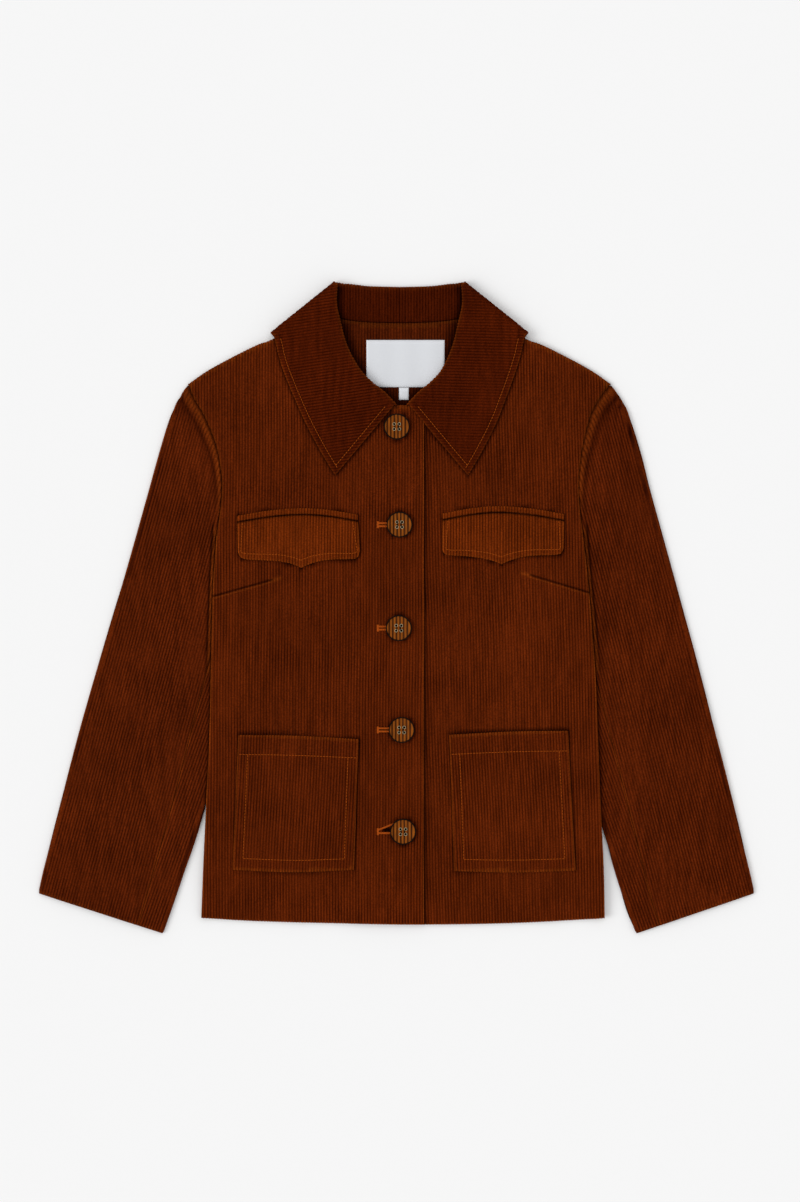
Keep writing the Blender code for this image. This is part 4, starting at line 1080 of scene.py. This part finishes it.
def collar_fall(places):
    """The plan points of one line of the fall, from the roll to the outer edge."""
    neck, roll, edge = places
    start = roll - (roll - neck) / np.linalg.norm(roll - neck) * HAIRPIN / 2
    return start + (edge - start) * np.linspace(0, 1, FALL_POINTS + 1)[1:, None]


def collar_section(places, sign, turn, swell, high, heights):
    """The collar's face on one line, from the neck seam over the roll to the outer edge. turn is -90
    where the fall lies under the back and 90 where it lies on the front, at these heights, and swell
    is how far the fold over the shoulder's end bulges."""
    neck, roll, _ = places
    half = HAIRPIN / 2
    outward, tilt = wrap_direction(sign), math.radians(turn)
    radius = (high - half) / 2
    push = outward * radius * swell
    normal = np.array([*(outward * math.cos(tilt)), math.sin(tilt)])
    stand = (roll - neck) / np.linalg.norm(roll - neck)
    start = roll - stand * half
    down = collar_fall(places)
    if turn < 90:
        heights = np.full(FALL_POINTS, half + radius * (1 + math.sin(tilt)))
    shares = np.linspace(0, 1, STAND_POINTS, endpoint=False)[:, None]
    up = neck + (start - neck + push) * shares
    inside_face = with_height(up, heights[0]) - normal * half
    swing = np.radians(np.linspace(-90, 90, ROLL_POINTS))[:, None]
    bend = np.cos(swing) * np.array([*stand, 0.0]) + np.sin(swing) * normal
    rolled = np.array([*(start + push), heights[0]]) + half * bend
    return np.vstack([inside_face, rolled, with_height(down + push, heights) + normal * half])


def collar_half(side):
    """Half of the collar's face, and its wales, from the centre back to the centre front."""
    sign = SIGN[side]
    behind = curve_through([*NECK_STATIONS, NECK_WRAP], 40)
    before = curve_through([NECK_WRAP, *FRONT_STATIONS], 40)
    back_shares = np.linspace(0, 1, BACK_SECTIONS)[:-1]
    swells = smooth(1 - (1 - back_shares) / SWELL_SHARE)
    lines = [(places, -90, swell) for places, swell in zip(along(behind, back_shares), swells)]
    for turn in np.linspace(-90, 90, WRAP_SECTIONS):
        lines.append((np.array(NECK_WRAP), turn, math.cos(math.radians(max(turn, 0)))))
    lines += [(places, 90, 0.0) for places in along(before, np.linspace(0, 1, FRONT_SECTIONS))[1:]]
    plans = [collar_places(places, sign) for places, _, _ in lines]
    lie = COLLAR_CLEAR - HAIRPIN / 2 + COLLAR_CLOTH
    high = collar_rest(np.array([sign * WRAP_REST[0], WRAP_REST[1]]), sign) + lie
    heights = collar_rest(np.stack([collar_fall(points) for points in plans]), sign) + lie
    face = np.stack([collar_section(points, sign, turn, swell, high, heights[k])
                     for k, (points, (_, turn, swell)) in enumerate(zip(plans, lines))])
    turns = np.array([turn for _, turn, _ in lines])
    wales = face[..., 0] / WALE
    rise = math.radians(COLLAR_GRAIN[side])
    level = (face[..., 1] * math.cos(rise) - face[..., 0] * math.sin(rise)) / WALE
    wales[turns > 0] = level[turns > 0]
    return face, wales


halves = {side: collar_half(side) for side in ("right", "left")}
face, wales = (np.concatenate([halves["right"][k][:0:-1], halves["left"][k]]) for k in (0, 1))
on_fall = np.arange(face.shape[1]) > STAND_POINTS + ROLL_POINTS
parts = (np.s_[:FRONT_SECTIONS], np.s_[FRONT_SECTIONS:-FRONT_SECTIONS], np.s_[-FRONT_SECTIONS:])
inset = np.concatenate([distance_to(face[rows, :, :2], face[rows, -1, :2]) for rows in parts])
for part, end in ((parts[0], 0), (parts[2], -1)):
    end_line = face[end, STAND_POINTS + ROLL_POINTS:, :2]
    inset[part] = np.minimum(inset[part], distance_to(face[part, :, :2], end_line))
press = STITCH_SINK * bell(inset, COLLAR_STITCH, STITCH_WIDTH) * on_fall
roll_line = np.linalg.norm(face - face[:, STAND_POINTS + ROLL_POINTS // 2][:, None], axis=-1)
# The fall is worn paler along its edge, and the roll is worn paler and has a painted highlight. Shade is
# painted inside the fold at the front, over the stand and in the stitches' groove.
wear_and_highlight = COLLAR_EDGE_RUB * smooth(1 - inset / RUB_WIDTH) * on_fall
wear_and_highlight = np.maximum(ROLL_WEAR_AND_HIGHLIGHT * bell(roll_line, 0, ROLL_WEAR_AND_HIGHLIGHT_WIDTH), wear_and_highlight)
folds = [face[rows, STAND_POINTS + ROLL_POINTS // 2, :2] for rows in parts[::2]]
painted_shade = marked(face[..., :2], [(line, IN_FOLD, IN_FOLD_WIDTH) for line in folds]) * ~on_fall
painted_shade[np.abs(roll_line) < 2 * ROLL_WEAR_AND_HIGHLIGHT_WIDTH] = 0.0
painted_shade = np.maximum(np.maximum(painted_shade, STAND_SHADE * ~on_fall), STITCH_SHADE * press / STITCH_SINK)
collar_corduroy = corduroy("corduroy_collar", "#1b0301", "#4f1904", "#843b0d")
front_rows = np.s_[-FRONT_SECTIONS:, STAND_POINTS + ROLL_POINTS:]
collar = shaped_cloth("jacket_collar", face, wales, COLLAR_CLOTH, collar_corduroy, "collar", front_rows,
                      painted_shade, wear_and_highlight, [(0, 1), (-1, -2), (np.s_[:, -1], np.s_[:, -2])], press)


# Topstitching: one thread of a brighter brown, in short stitches that sink into the pile at each end.

STITCH, STITCH_GAP = 2.7, 0.5
THREAD = 0.34  # its radius
THREAD_SIDES = 5
PIECE_SHAPE = [(-0.5, 0.35, -0.35), (-0.3, 1.0, 0.15), (0.3, 1.0, 0.15), (0.5, 0.35, -0.35)]


def thread_material(name, colour):
    """Spun polyester thread: a little brighter than the pile, with the twist of its two plies."""
    material, tree = new_material(name)
    place = add_node(tree, "TexCoord", output="Object")
    twist = add_node(tree, "TexNoise", {"Vector": place, "Scale": 1 / (0.5 * MM)})
    tone = add_node(tree, "MapRange", {0: twist, 1: 0.3, 2: 0.7, 3: 0.8, 4: 1.15})
    shade = add_node(tree, "HueSaturation", {"Value": tone, "Color": linear(colour)})
    shader = add_node(tree, "BsdfPrincipled", {
        "Base Color": shade, "Roughness": 0.8, "Specular IOR Level": 0.05})
    add_node(tree, "OutputMaterial", {"Surface": shader})
    return material


def heights_on(piece, points):
    """The height of a finished piece's upper surface at each point."""
    bpy.context.view_layer.update()
    tree = BVHTree.FromObject(piece, bpy.context.evaluated_depsgraph_get())
    made = []
    for x, y, _ in in_row_frame(with_height(points, 0.0)):
        hit = tree.ray_cast(Vector((x, y, 1.0)), Vector((0, 0, -1)))[0]
        made.append(hit.z / MM if hit else np.nan)
    return np.array(made)


def stitch_mesh(starts, ends, radius, material):
    """One short stitch from each start to each end."""
    turns = np.linspace(0, 2 * math.pi, THREAD_SIDES, endpoint=False)
    points, faces = [], []
    for a, b in zip(starts, ends):
        way = b - a
        length = np.linalg.norm(way)
        way = way / length
        sideways = np.cross([0, 0, 1.0], way)
        sideways /= max(np.linalg.norm(sideways), TINY)
        upward = np.cross(way, sideways)
        first = len(points)
        for at, thick, lift in PIECE_SHAPE:
            middle = (a + b) / 2 + way * length * at + upward * lift * radius
            points += [middle + radius * thick * (math.cos(turn) * sideways + math.sin(turn) * upward)
                       for turn in turns]
        for ring in range(len(PIECE_SHAPE) - 1):
            base = first + ring * THREAD_SIDES
            for k in range(THREAD_SIDES):
                n = (k + 1) % THREAD_SIDES
                faces.append([base + k, base + n, base + n + THREAD_SIDES, base + k + THREAD_SIDES])
        last = first + (len(PIECE_SHAPE) - 1) * THREAD_SIDES
        faces.append([first + k for k in reversed(range(THREAD_SIDES))])
        faces.append([last + k for k in range(THREAD_SIDES)])
    return smooth_mesh(points, faces, material)


def topstitch(name, piece, lines):
    """Rows of stitches along plan lines, on a finished piece."""
    starts, ends = [], []
    for line in lines:
        line = np.array(line, float)
        length = np.linalg.norm(np.diff(line, axis=0), axis=1).sum()
        count = max(1, round(length / (STITCH + STITCH_GAP)))
        at = (np.arange(count) + 0.5) / count
        half = STITCH / 2 / length
        for pool, shares in ((starts, at - half), (ends, at + half)):
            places = along(line, shares)
            pool.append(with_height(places, heights_on(piece, places) + THREAD / 2))
    starts, ends = np.vstack(starts), np.vstack(ends)
    good = np.isfinite(starts[:, 2]) & np.isfinite(ends[:, 2])
    good &= np.abs(starts[:, 2] - ends[:, 2]) < STITCH / 2
    riding(name, stitch_mesh(starts[good], ends[good], THREAD, thread))


def inset_line(line, inset, shares=(0.0, 1.0)):
    """A line moved to its left by the inset, and cut to a stretch of its length."""
    line = np.array(line, float)
    way = unit(np.gradient(line, axis=0))
    moved = line + inset * np.stack([-way[:, 1], way[:, 0]], axis=-1)
    return along(moved, np.linspace(*shares, 80))


thread = thread_material("topstitch_thread", "#a24a10")
collar_lines = []
for side, sign in (("right", 1), ("left", -1)):
    rows = halves[side][0][-FRONT_SECTIONS:]
    outer_edge = rows[:, -1, :2]
    front_edge = rows[-1, STAND_POINTS + ROLL_POINTS:, :2][::-1]
    collar_lines.append(inset_line(outer_edge, sign * COLLAR_STITCH, EDGE_STITCHED))
    collar_lines.append(inset_line(front_edge, sign * COLLAR_STITCH, END_STITCHED))
topstitch("collar_stitching", collar, collar_lines)


# The patch pockets: a square of corduroy on each front, with a deep turned hem at the mouth, stitched
# down along three sides. Its turned edges lie double, so they stand a little proud inside the stitches.

POCKET_MOUTH_LIFT, POCKET_MOUTH_SHARE = 1.0, 0.25
MOUTH_HEM = 20.5  # from the mouth down to its stitches
MOUTH_STITCHED = (0.012, 0.988)  # from one share of its width to another
POCKET_SAMPLES, POCKET_ROWS = 6, 4.0
STITCH_BAND = 9.0  # the rows lie closer together this far from a row of stitches
POCKET_SIZE = (125.0, 142.0)
POCKET_STITCH, POCKET_FOOT_STITCH = 10.3, 12.5  # from the sides and the foot in
POCKET_GRAIN = {"right": 2.8, "left": -2.9}


def between(top, foot):
    """The piece between a top and a foot curve: a place for each (share across, share up)."""
    upper, lower = curve_through(top), curve_through(foot)

    def place(across, up):
        across, up = np.broadcast_arrays(across, np.asarray(up, float))
        return along(lower, across) * (1 - up[..., None]) + along(upper, across) * up[..., None]

    return place


def share_up(points, top, foot):
    """How far up the piece each point is, from its foot (0) to its top (1)."""
    upper, lower = (np.interp(points[..., 0], *curve_through(line).T) for line in (top, foot))
    return np.clip((points[..., 1] - lower) / (upper - lower), 0, 1)


def sewn_face(side, top, foot, lines, lifted):
    """The face of a piece that is sewn on a front. Rows of stitches pull it down beside them, and
    lifted says how far its share up lifts it."""
    def face(points):
        off = np.minimum.reduce([distance_to(points, line) for line in lines])
        groove = STITCH_SINK * bell(off, 0, STITCH_WIDTH)
        return front_top(points, side) + LIE + CLOTH + lifted(share_up(points, top, foot)) - groove

    return face


def mouth_lift(up):
    return POCKET_MOUTH_LIFT * smooth(1 - (1 - up) / POCKET_MOUTH_SHARE)


pocket_corduroy = corduroy("corduroy_pocket", "#1d0402", "#602307", "#80390d")
for side in ("right", "left"):
    top, foot = PATCH_POCKETS[side]
    place = between(top, foot)
    shares = np.linspace(0, 1, 40)
    width, height = POCKET_SIZE
    inset, mouth, low = POCKET_STITCH / width, 1 - MOUTH_HEM / height, POCKET_FOOT_STITCH / height
    stitches = [place(np.linspace(*MOUTH_STITCHED, 60), mouth)]
    stitches += [place(x, np.linspace(low, mouth, 40)) for x in (inset, 1 - inset)]
    stitches.append(place(np.linspace(inset, 1 - inset, 50), low))
    outline = np.vstack([place(shares, 0), place(1, [0.25, 0.75]), place(shares[::-1], 1),
                         place(0, [0.75, 0.25])])
    level = [line[:, 1] for line in stitches[::3]]
    bands = [(y.min() - STITCH_BAND, y.max() + STITCH_BAND, CLOSE_ROWS) for y in level]
    pocket = laid_cloth(
        f"patch_pocket_cloth_{side}", outline, POCKET_GRAIN[side],
        sewn_face(side, top, foot, stitches, mouth_lift), CLOTH, pocket_corduroy,
        f"patch_pocket_{side}", POCKET_SAMPLES, POCKET_ROWS, bands, rubbed=0.7)
    topstitch(f"patch_pocket_stitching_{side}", pocket, stitches)


# The chest flaps: a shaped flap of corduroy with a point in the middle, topstitched near its edge, and
# above each a narrow welt that is pressed over the flap's seam.

FLAP_LIFT, FLAP_LIFT_SHARE = 0.9, 0.6
FLAP_SAMPLES, FLAP_ROWS, WELT_ROWS = 6, 1.6, 1.2
FLAP_STITCHED = (0.045, 0.955, 0.145, 0.97)  # from one share of its width to another, and of its height
FLAP_GRAIN = {"right": 0.6, "left": -0.6}


def foot_lift(up):
    return FLAP_LIFT * smooth(1 - up / FLAP_LIFT_SHARE)


flap_corduroy = corduroy("corduroy_flap", "#230602", "#6f2b08", "#8a400f")
for side in ("right", "left"):
    top, foot = FLAPS[side]
    place = between(top, foot)
    start, end, low, high = FLAP_STITCHED
    stitches = [place(np.linspace(start, end, 90), low)]
    stitches += [place(x, np.linspace(low, high, 20)) for x in (start, end)]
    shares = np.linspace(0, 1, 60)
    outline = np.vstack([place(shares, 0), place(shares[::-1], 1)])
    # Shade is painted along the flap's top, under the welt.
    flap = laid_cloth(
        f"chest_flap_cloth_{side}", outline, FLAP_GRAIN[side],
        sewn_face(side, top, foot, stitches, foot_lift), CLOTH, flap_corduroy,
        f"flap_{side}", FLAP_SAMPLES, FLAP_ROWS, shade_marks=[(curve_through(top), 0.9, 1.3)], rubbed=0.45)
    topstitch(f"chest_flap_stitching_{side}", flap, stitches)
    upper = curve_through(top)
    outline = np.vstack([upper + [0, WELT_GAP], upper[::-1] + [0, WELT_HEIGHT]])
    # and along the welt's foot, over the flap.
    laid_cloth(
        f"chest_welt_cloth_{side}", outline, FLAP_GRAIN[side],
        lambda at, side=side: front_top(at, side) + LIE + WELT_CLOTH, WELT_CLOTH, flap_corduroy,
        f"flap_welt_{side}", FLAP_SAMPLES, WELT_ROWS,
        shade_marks=[(upper + [0, WELT_GAP], 0.9, 0.9)], rubbed=0.3)


# The buttonholes: level slits, painted as lines of shade on the right front, and closed round with
# satin stitches of bright thread.

BUTTONHOLE_SLIT, BUTTONHOLE_BAR, BUTTONHOLE_END_BAR = 0.5, 2.2, 3.4  # each from the middle line, in y
BUTTONHOLE_END_WIDTH = 2.6
BUTTONHOLE_SPREAD = {5: 5.0}  # how far the upper lip of a stretched one rises beside the button
SATIN_PITCH = 0.55
SATIN_THREAD, SATIN_LIFT = 0.32, 0.1

buttonhole_thread = thread_material("buttonhole_thread", "#a84c12")
for number, (x, y) in enumerate(BUTTONS[1:], start=2):
    xs = np.arange(BUTTONHOLE_END, x - BUTTON_RADIUS / 2, SATIN_PITCH)
    share = (xs - xs[0]) / (x - BUTTON_RADIUS - xs[0])
    starts, ends = [], []
    for sign in (-1, 1):
        rise = BUTTONHOLE_SPREAD.get(number, 0.0) if sign > 0 else 0.0
        lip = y + sign * BUTTONHOLE_SLIT + rise * share
        starts.append(np.stack([xs, lip], axis=-1))
        ends.append(np.stack([xs, lip + sign * BUTTONHOLE_BAR], axis=-1))
    bar = np.arange(-BUTTONHOLE_END_BAR, BUTTONHOLE_END_BAR + TINY, SATIN_PITCH)
    outer = np.full(len(bar), BUTTONHOLE_END)
    starts.append(np.stack([outer - BUTTONHOLE_END_WIDTH / 2, y + bar], axis=-1))
    ends.append(np.stack([outer + BUTTONHOLE_END_WIDTH / 2, y + bar], axis=-1))
    starts, ends = np.vstack(starts), np.vstack(ends)
    level = np.nanmax(heights_on(fronts["right"], np.vstack([starts, ends]))) + SATIN_LIFT
    starts, ends = with_height(starts, level), with_height(ends, level)
    riding(f"buttonhole_{number}", stitch_mesh(starts, ends, SATIN_THREAD, buttonhole_thread))


# The buttons: turned resin discs 27 mm across, with upright ribs cut in the face inside a dark rim,
# sewn through four plain holes with dark thread. Each hole has a pale lip.

BUTTON_HEIGHT, BUTTON_RIM = 4.0, 0.9
RIB, RIB_CUT, RIB_DEPTH = 3.75, 1.5, 0.6
FIRST_CUT, LAST_CUT = -9.9, 12.0  # x on the face
FACE_SLOPE, FACE_SINK = 0.5, 0.7  # the face lies this far in from the rim, and this far below it
BUTTON_FACE = BUTTON_HEIGHT - FACE_SINK
DISC_SIDES, HOLE_SIDES = 72, 24
UPWARD = 0.9  # the least z of the normal of a face that looks up
WORN_EDGE, WORN_ANGLE = 0.18, 40
HOLE_RADIUS, HOLE_SPACING = 1.5, 5.3
HOLES = [(-HOLE_SPACING / 2, -HOLE_SPACING / 2), (HOLE_SPACING / 2, -HOLE_SPACING / 2),
         (HOLE_SPACING / 2, HOLE_SPACING / 2), (-HOLE_SPACING / 2, HOLE_SPACING / 2)]
EYELET = 0.22  # the radius of the pale lip round a hole
SEWING_THREAD = 0.45  # its radius
STRAND_IN, STRAND_LIFT = 0.8, 0.4  # in from the middles of the holes, and above the face in radii


def resin(name, groove, crest, rim):
    """Cast polyester resin, turned and tumbled: satin, streaked along its ribs, and dark at the rim."""
    material, tree = new_material(name)
    place = add_node(tree, "TexCoord", output="Object")
    rib, edge = (add_node(tree, "Attribute", output="Fac", attribute_name=key) for key in ("rib", "rim"))
    stretch = add_node(tree, "Mapping", {"Vector": place, "Scale": (1.0, 0.15, 1.0)})
    streak = add_node(tree, "TexNoise", {"Vector": stretch, "Scale": 1 / (1.2 * MM)})
    tone = add_node(tree, "MapRange", {0: streak, 1: 0.3, 2: 0.7, 3: 0.75, 4: 1.2})
    base = add_node(tree, "Mix", {0: rib, 6: linear(groove), 7: linear(crest)}, 2, data_type="RGBA")
    whole = add_node(tree, "Mix", {0: edge, 6: base, 7: linear(rim)}, 2, data_type="RGBA")
    shade = add_node(tree, "HueSaturation", {"Value": tone, "Color": whole})
    shader = add_node(tree, "BsdfPrincipled", {
        "Base Color": shade, "Roughness": 0.55, "Specular IOR Level": 0.05})
    add_node(tree, "OutputMaterial", {"Surface": shader})
    return material


def button_disc(name):
    """A disc with ribs cut across its face, made at the origin, in metres."""
    bpy.ops.mesh.primitive_cylinder_add(
        vertices=DISC_SIDES, radius=BUTTON_RADIUS * MM, depth=BUTTON_HEIGHT * MM,
        location=(0, 0, BUTTON_HEIGHT / 2 * MM), end_fill_type="NGON")
    made = bpy.context.object
    made.name = made.data.name = name
    bpy.ops.object.transform_apply(location=True, rotation=False, scale=False)
    bpy.ops.object.mode_set(mode="EDIT")
    bm = bmesh.from_edit_mesh(made.data)
    top = [f for f in bm.faces if f.normal.z > UPWARD]
    bmesh.ops.inset_region(bm, faces=top, thickness=BUTTON_RIM * MM, depth=0.0)
    bmesh.ops.inset_region(bm, faces=top, thickness=FACE_SLOPE * MM, depth=-FACE_SINK * MM)
    cuts = np.arange(FIRST_CUT, LAST_CUT, RIB)
    for cut in cuts:
        for x in (cut - RIB_CUT, cut, cut + RIB_CUT):
            shown = [f for f in bm.faces if f.normal.z > UPWARD
                     and f.calc_center_median().to_2d().length < (BUTTON_RADIUS - BUTTON_RIM) * MM]
            parts = [*shown, *{e for f in shown for e in f.edges}, *{v for f in shown for v in f.verts}]
            bmesh.ops.bisect_plane(bm, geom=parts, plane_co=(x * MM, 0, 0), plane_no=(1, 0, 0), dist=1e-7)
    floor = BUTTON_FACE * MM
    for v in bm.verts:
        near = min(abs(v.co.x / MM - cut) for cut in cuts)
        if abs(v.co.z - floor) < 1e-6 and near < 0.05:
            v.co.z -= RIB_DEPTH * MM
    bmesh.update_edit_mesh(made.data)
    bpy.ops.object.mode_set(mode="OBJECT")
    return made


def drilled(disc):
    """The disc with its four holes."""
    for across, up in HOLES:
        bpy.ops.mesh.primitive_cylinder_add(vertices=HOLE_SIDES, radius=HOLE_RADIUS * MM, depth=0.02,
                                            location=(across * MM, up * MM, 0.0))
        cutter = bpy.context.object
        hole = disc.modifiers.new("hole", "BOOLEAN")
        hole.object, hole.operation, hole.solver = cutter, "DIFFERENCE", "EXACT"
        bpy.context.view_layer.objects.active = disc
        bpy.ops.object.modifier_apply(modifier=hole.name)
        bpy.data.objects.remove(cutter)
    bevel = disc.modifiers.new("worn edges", "BEVEL")
    bevel.width, bevel.segments = WORN_EDGE * MM, 2
    bevel.limit_method, bevel.angle_limit = "ANGLE", math.radians(WORN_ANGLE)
    bpy.context.view_layer.objects.active = disc
    bpy.ops.object.modifier_apply(modifier=bevel.name)
    return disc


def lipped(disc, material):
    """The disc with a pale turned lip round each hole, in a material slot of its own."""
    disc.data.materials.append(material)
    for across, up in HOLES:
        bpy.ops.mesh.primitive_torus_add(
            location=(across * MM, up * MM, BUTTON_FACE * MM), major_segments=HOLE_SIDES, minor_segments=6,
            major_radius=HOLE_RADIUS * MM, minor_radius=EYELET * MM)
        lip = bpy.context.object
        lip.data.materials.append(material)
        disc.select_set(True)
        bpy.context.view_layer.objects.active = disc
        bpy.ops.object.join()
    disc.select_set(False)
    return disc


button_resin = resin("button_resin", "#2c1003", "#8a480d", "#0b0502")
dark_thread = thread_material("button_thread", "#1e0d05")
pattern = drilled(button_disc("button_pattern"))
co = np.array([v.co for v in pattern.data.vertices]) / MM
nearest = np.abs(co[:, None, 0] - np.arange(FIRST_CUT, LAST_CUT, RIB)[None]).min(axis=1)
out = np.hypot(co[:, 0], co[:, 1])
ribs = smooth((nearest - 0.2) / RIB_CUT)
rims = smooth((out - (BUTTON_RADIUS - BUTTON_RIM - 0.3)) / 0.3)
give(pattern.data, {"rib": ribs, "rim": rims})
pattern.data.materials.append(button_resin)
pattern = lipped(pattern, resin("pale_resin", "#a79e7e", "#a79e7e", "#a79e7e"))
strands = [np.array([(x, -1), (x, 1)]) for x in (-1, 1)]
for number, (x, y) in enumerate(BUTTONS, start=1):
    low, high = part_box(f"button_{number}")
    base = low.z / MM
    mesh = pattern.data.copy()
    mesh.transform(Matrix.Translation(in_row_frame([x, y, base])))
    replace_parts(riding(f"turned_button_{number}", mesh), f"button_{number}")
    ends = np.array([x, y]) + np.array(strands) * (HOLE_SPACING / 2 - STRAND_IN)
    ends = with_height(ends, base + BUTTON_FACE + STRAND_LIFT * SEWING_THREAD)
    mesh = stitch_mesh(ends[:, 0], ends[:, 1], SEWING_THREAD, dark_thread)
    riding(f"button_{number}_thread", mesh)
bpy.data.objects.remove(pattern)


# The studio: a plain pale floor, wide soft lights, and a long lens straight above.

FRAME_PIXELS = (800, 1202)
PIXEL = 1.05  # millimetres that a pixel covers
FRAME_MIDDLE = (0.5, 335.0)  # what the middle of the frame looks at
CAMERA_HEIGHT = 4.2
SENSOR = 36.0
FLOOR_SIZE = 9.0
FLOOR_COLOUR = "#f4f4f4"
DOME = 0.66  # the light of the white walls all round
LAMPS = [  # where each wide softbox stands, how wide it looks in degrees, and its strength
    ("left_softbox", -1.0, -0.15, 0.9, 34.0, 1.08),
    ("overhead_softbox", 0.1, 0.3, 1.0, 60.0, 0.45),
]

bpy.ops.mesh.primitive_plane_add(size=FLOOR_SIZE, location=(0, 0, -0.2 * MM))
floor = bpy.context.object
floor.name = "studio_floor"
paper, tree = new_material("matt_paper")
place = add_node(tree, "TexCoord", output="Object")
grain = add_node(tree, "TexNoise", {"Vector": place, "Scale": 1 / (8 * MM)})
fibre = add_node(tree, "Bump", {"Strength": 0.03, "Distance": 0.1 * MM, "Height": grain})
matt = add_node(tree, "BsdfPrincipled", {
    "Base Color": linear(FLOOR_COLOUR), "Roughness": 1.0, "Specular IOR Level": 0.0, "Normal": fibre})
add_node(tree, "OutputMaterial", {"Surface": matt})
floor.data.materials.append(paper)

world = bpy.data.worlds.new("studio")
world.use_nodes = True
world.node_tree.nodes["Background"].inputs["Color"].default_value = (1.0, 1.0, 1.0, 1.0)
world.node_tree.nodes["Background"].inputs["Strength"].default_value = DOME
bpy.context.scene.world = world
bpy.context.scene.view_settings.view_transform = "Standard"  # colours as they are, without a film's curve
for name, x, y, z, width, strength in LAMPS:
    lamp = bpy.data.lights.new(name, "SUN")
    lamp.angle, lamp.energy = math.radians(width), strength
    lit = linked(name, lamp)
    lit.location = (x, y, z)
    lit.rotation_euler = (-Vector((x, y, z))).to_track_quat("-Z", "Y").to_euler()

lens = bpy.data.cameras.new("long_lens")
lens.sensor_fit = "VERTICAL"
lens.sensor_height = SENSOR
lens.sensor_width = SENSOR
lens.lens = SENSOR * CAMERA_HEIGHT / (FRAME_PIXELS[1] * PIXEL * MM)
lens.clip_end = 50.0
camera = linked("camera", lens)
camera.location = (*in_row_frame([*FRAME_MIDDLE, 0.0])[:2], CAMERA_HEIGHT)
bpy.context.scene.camera = camera
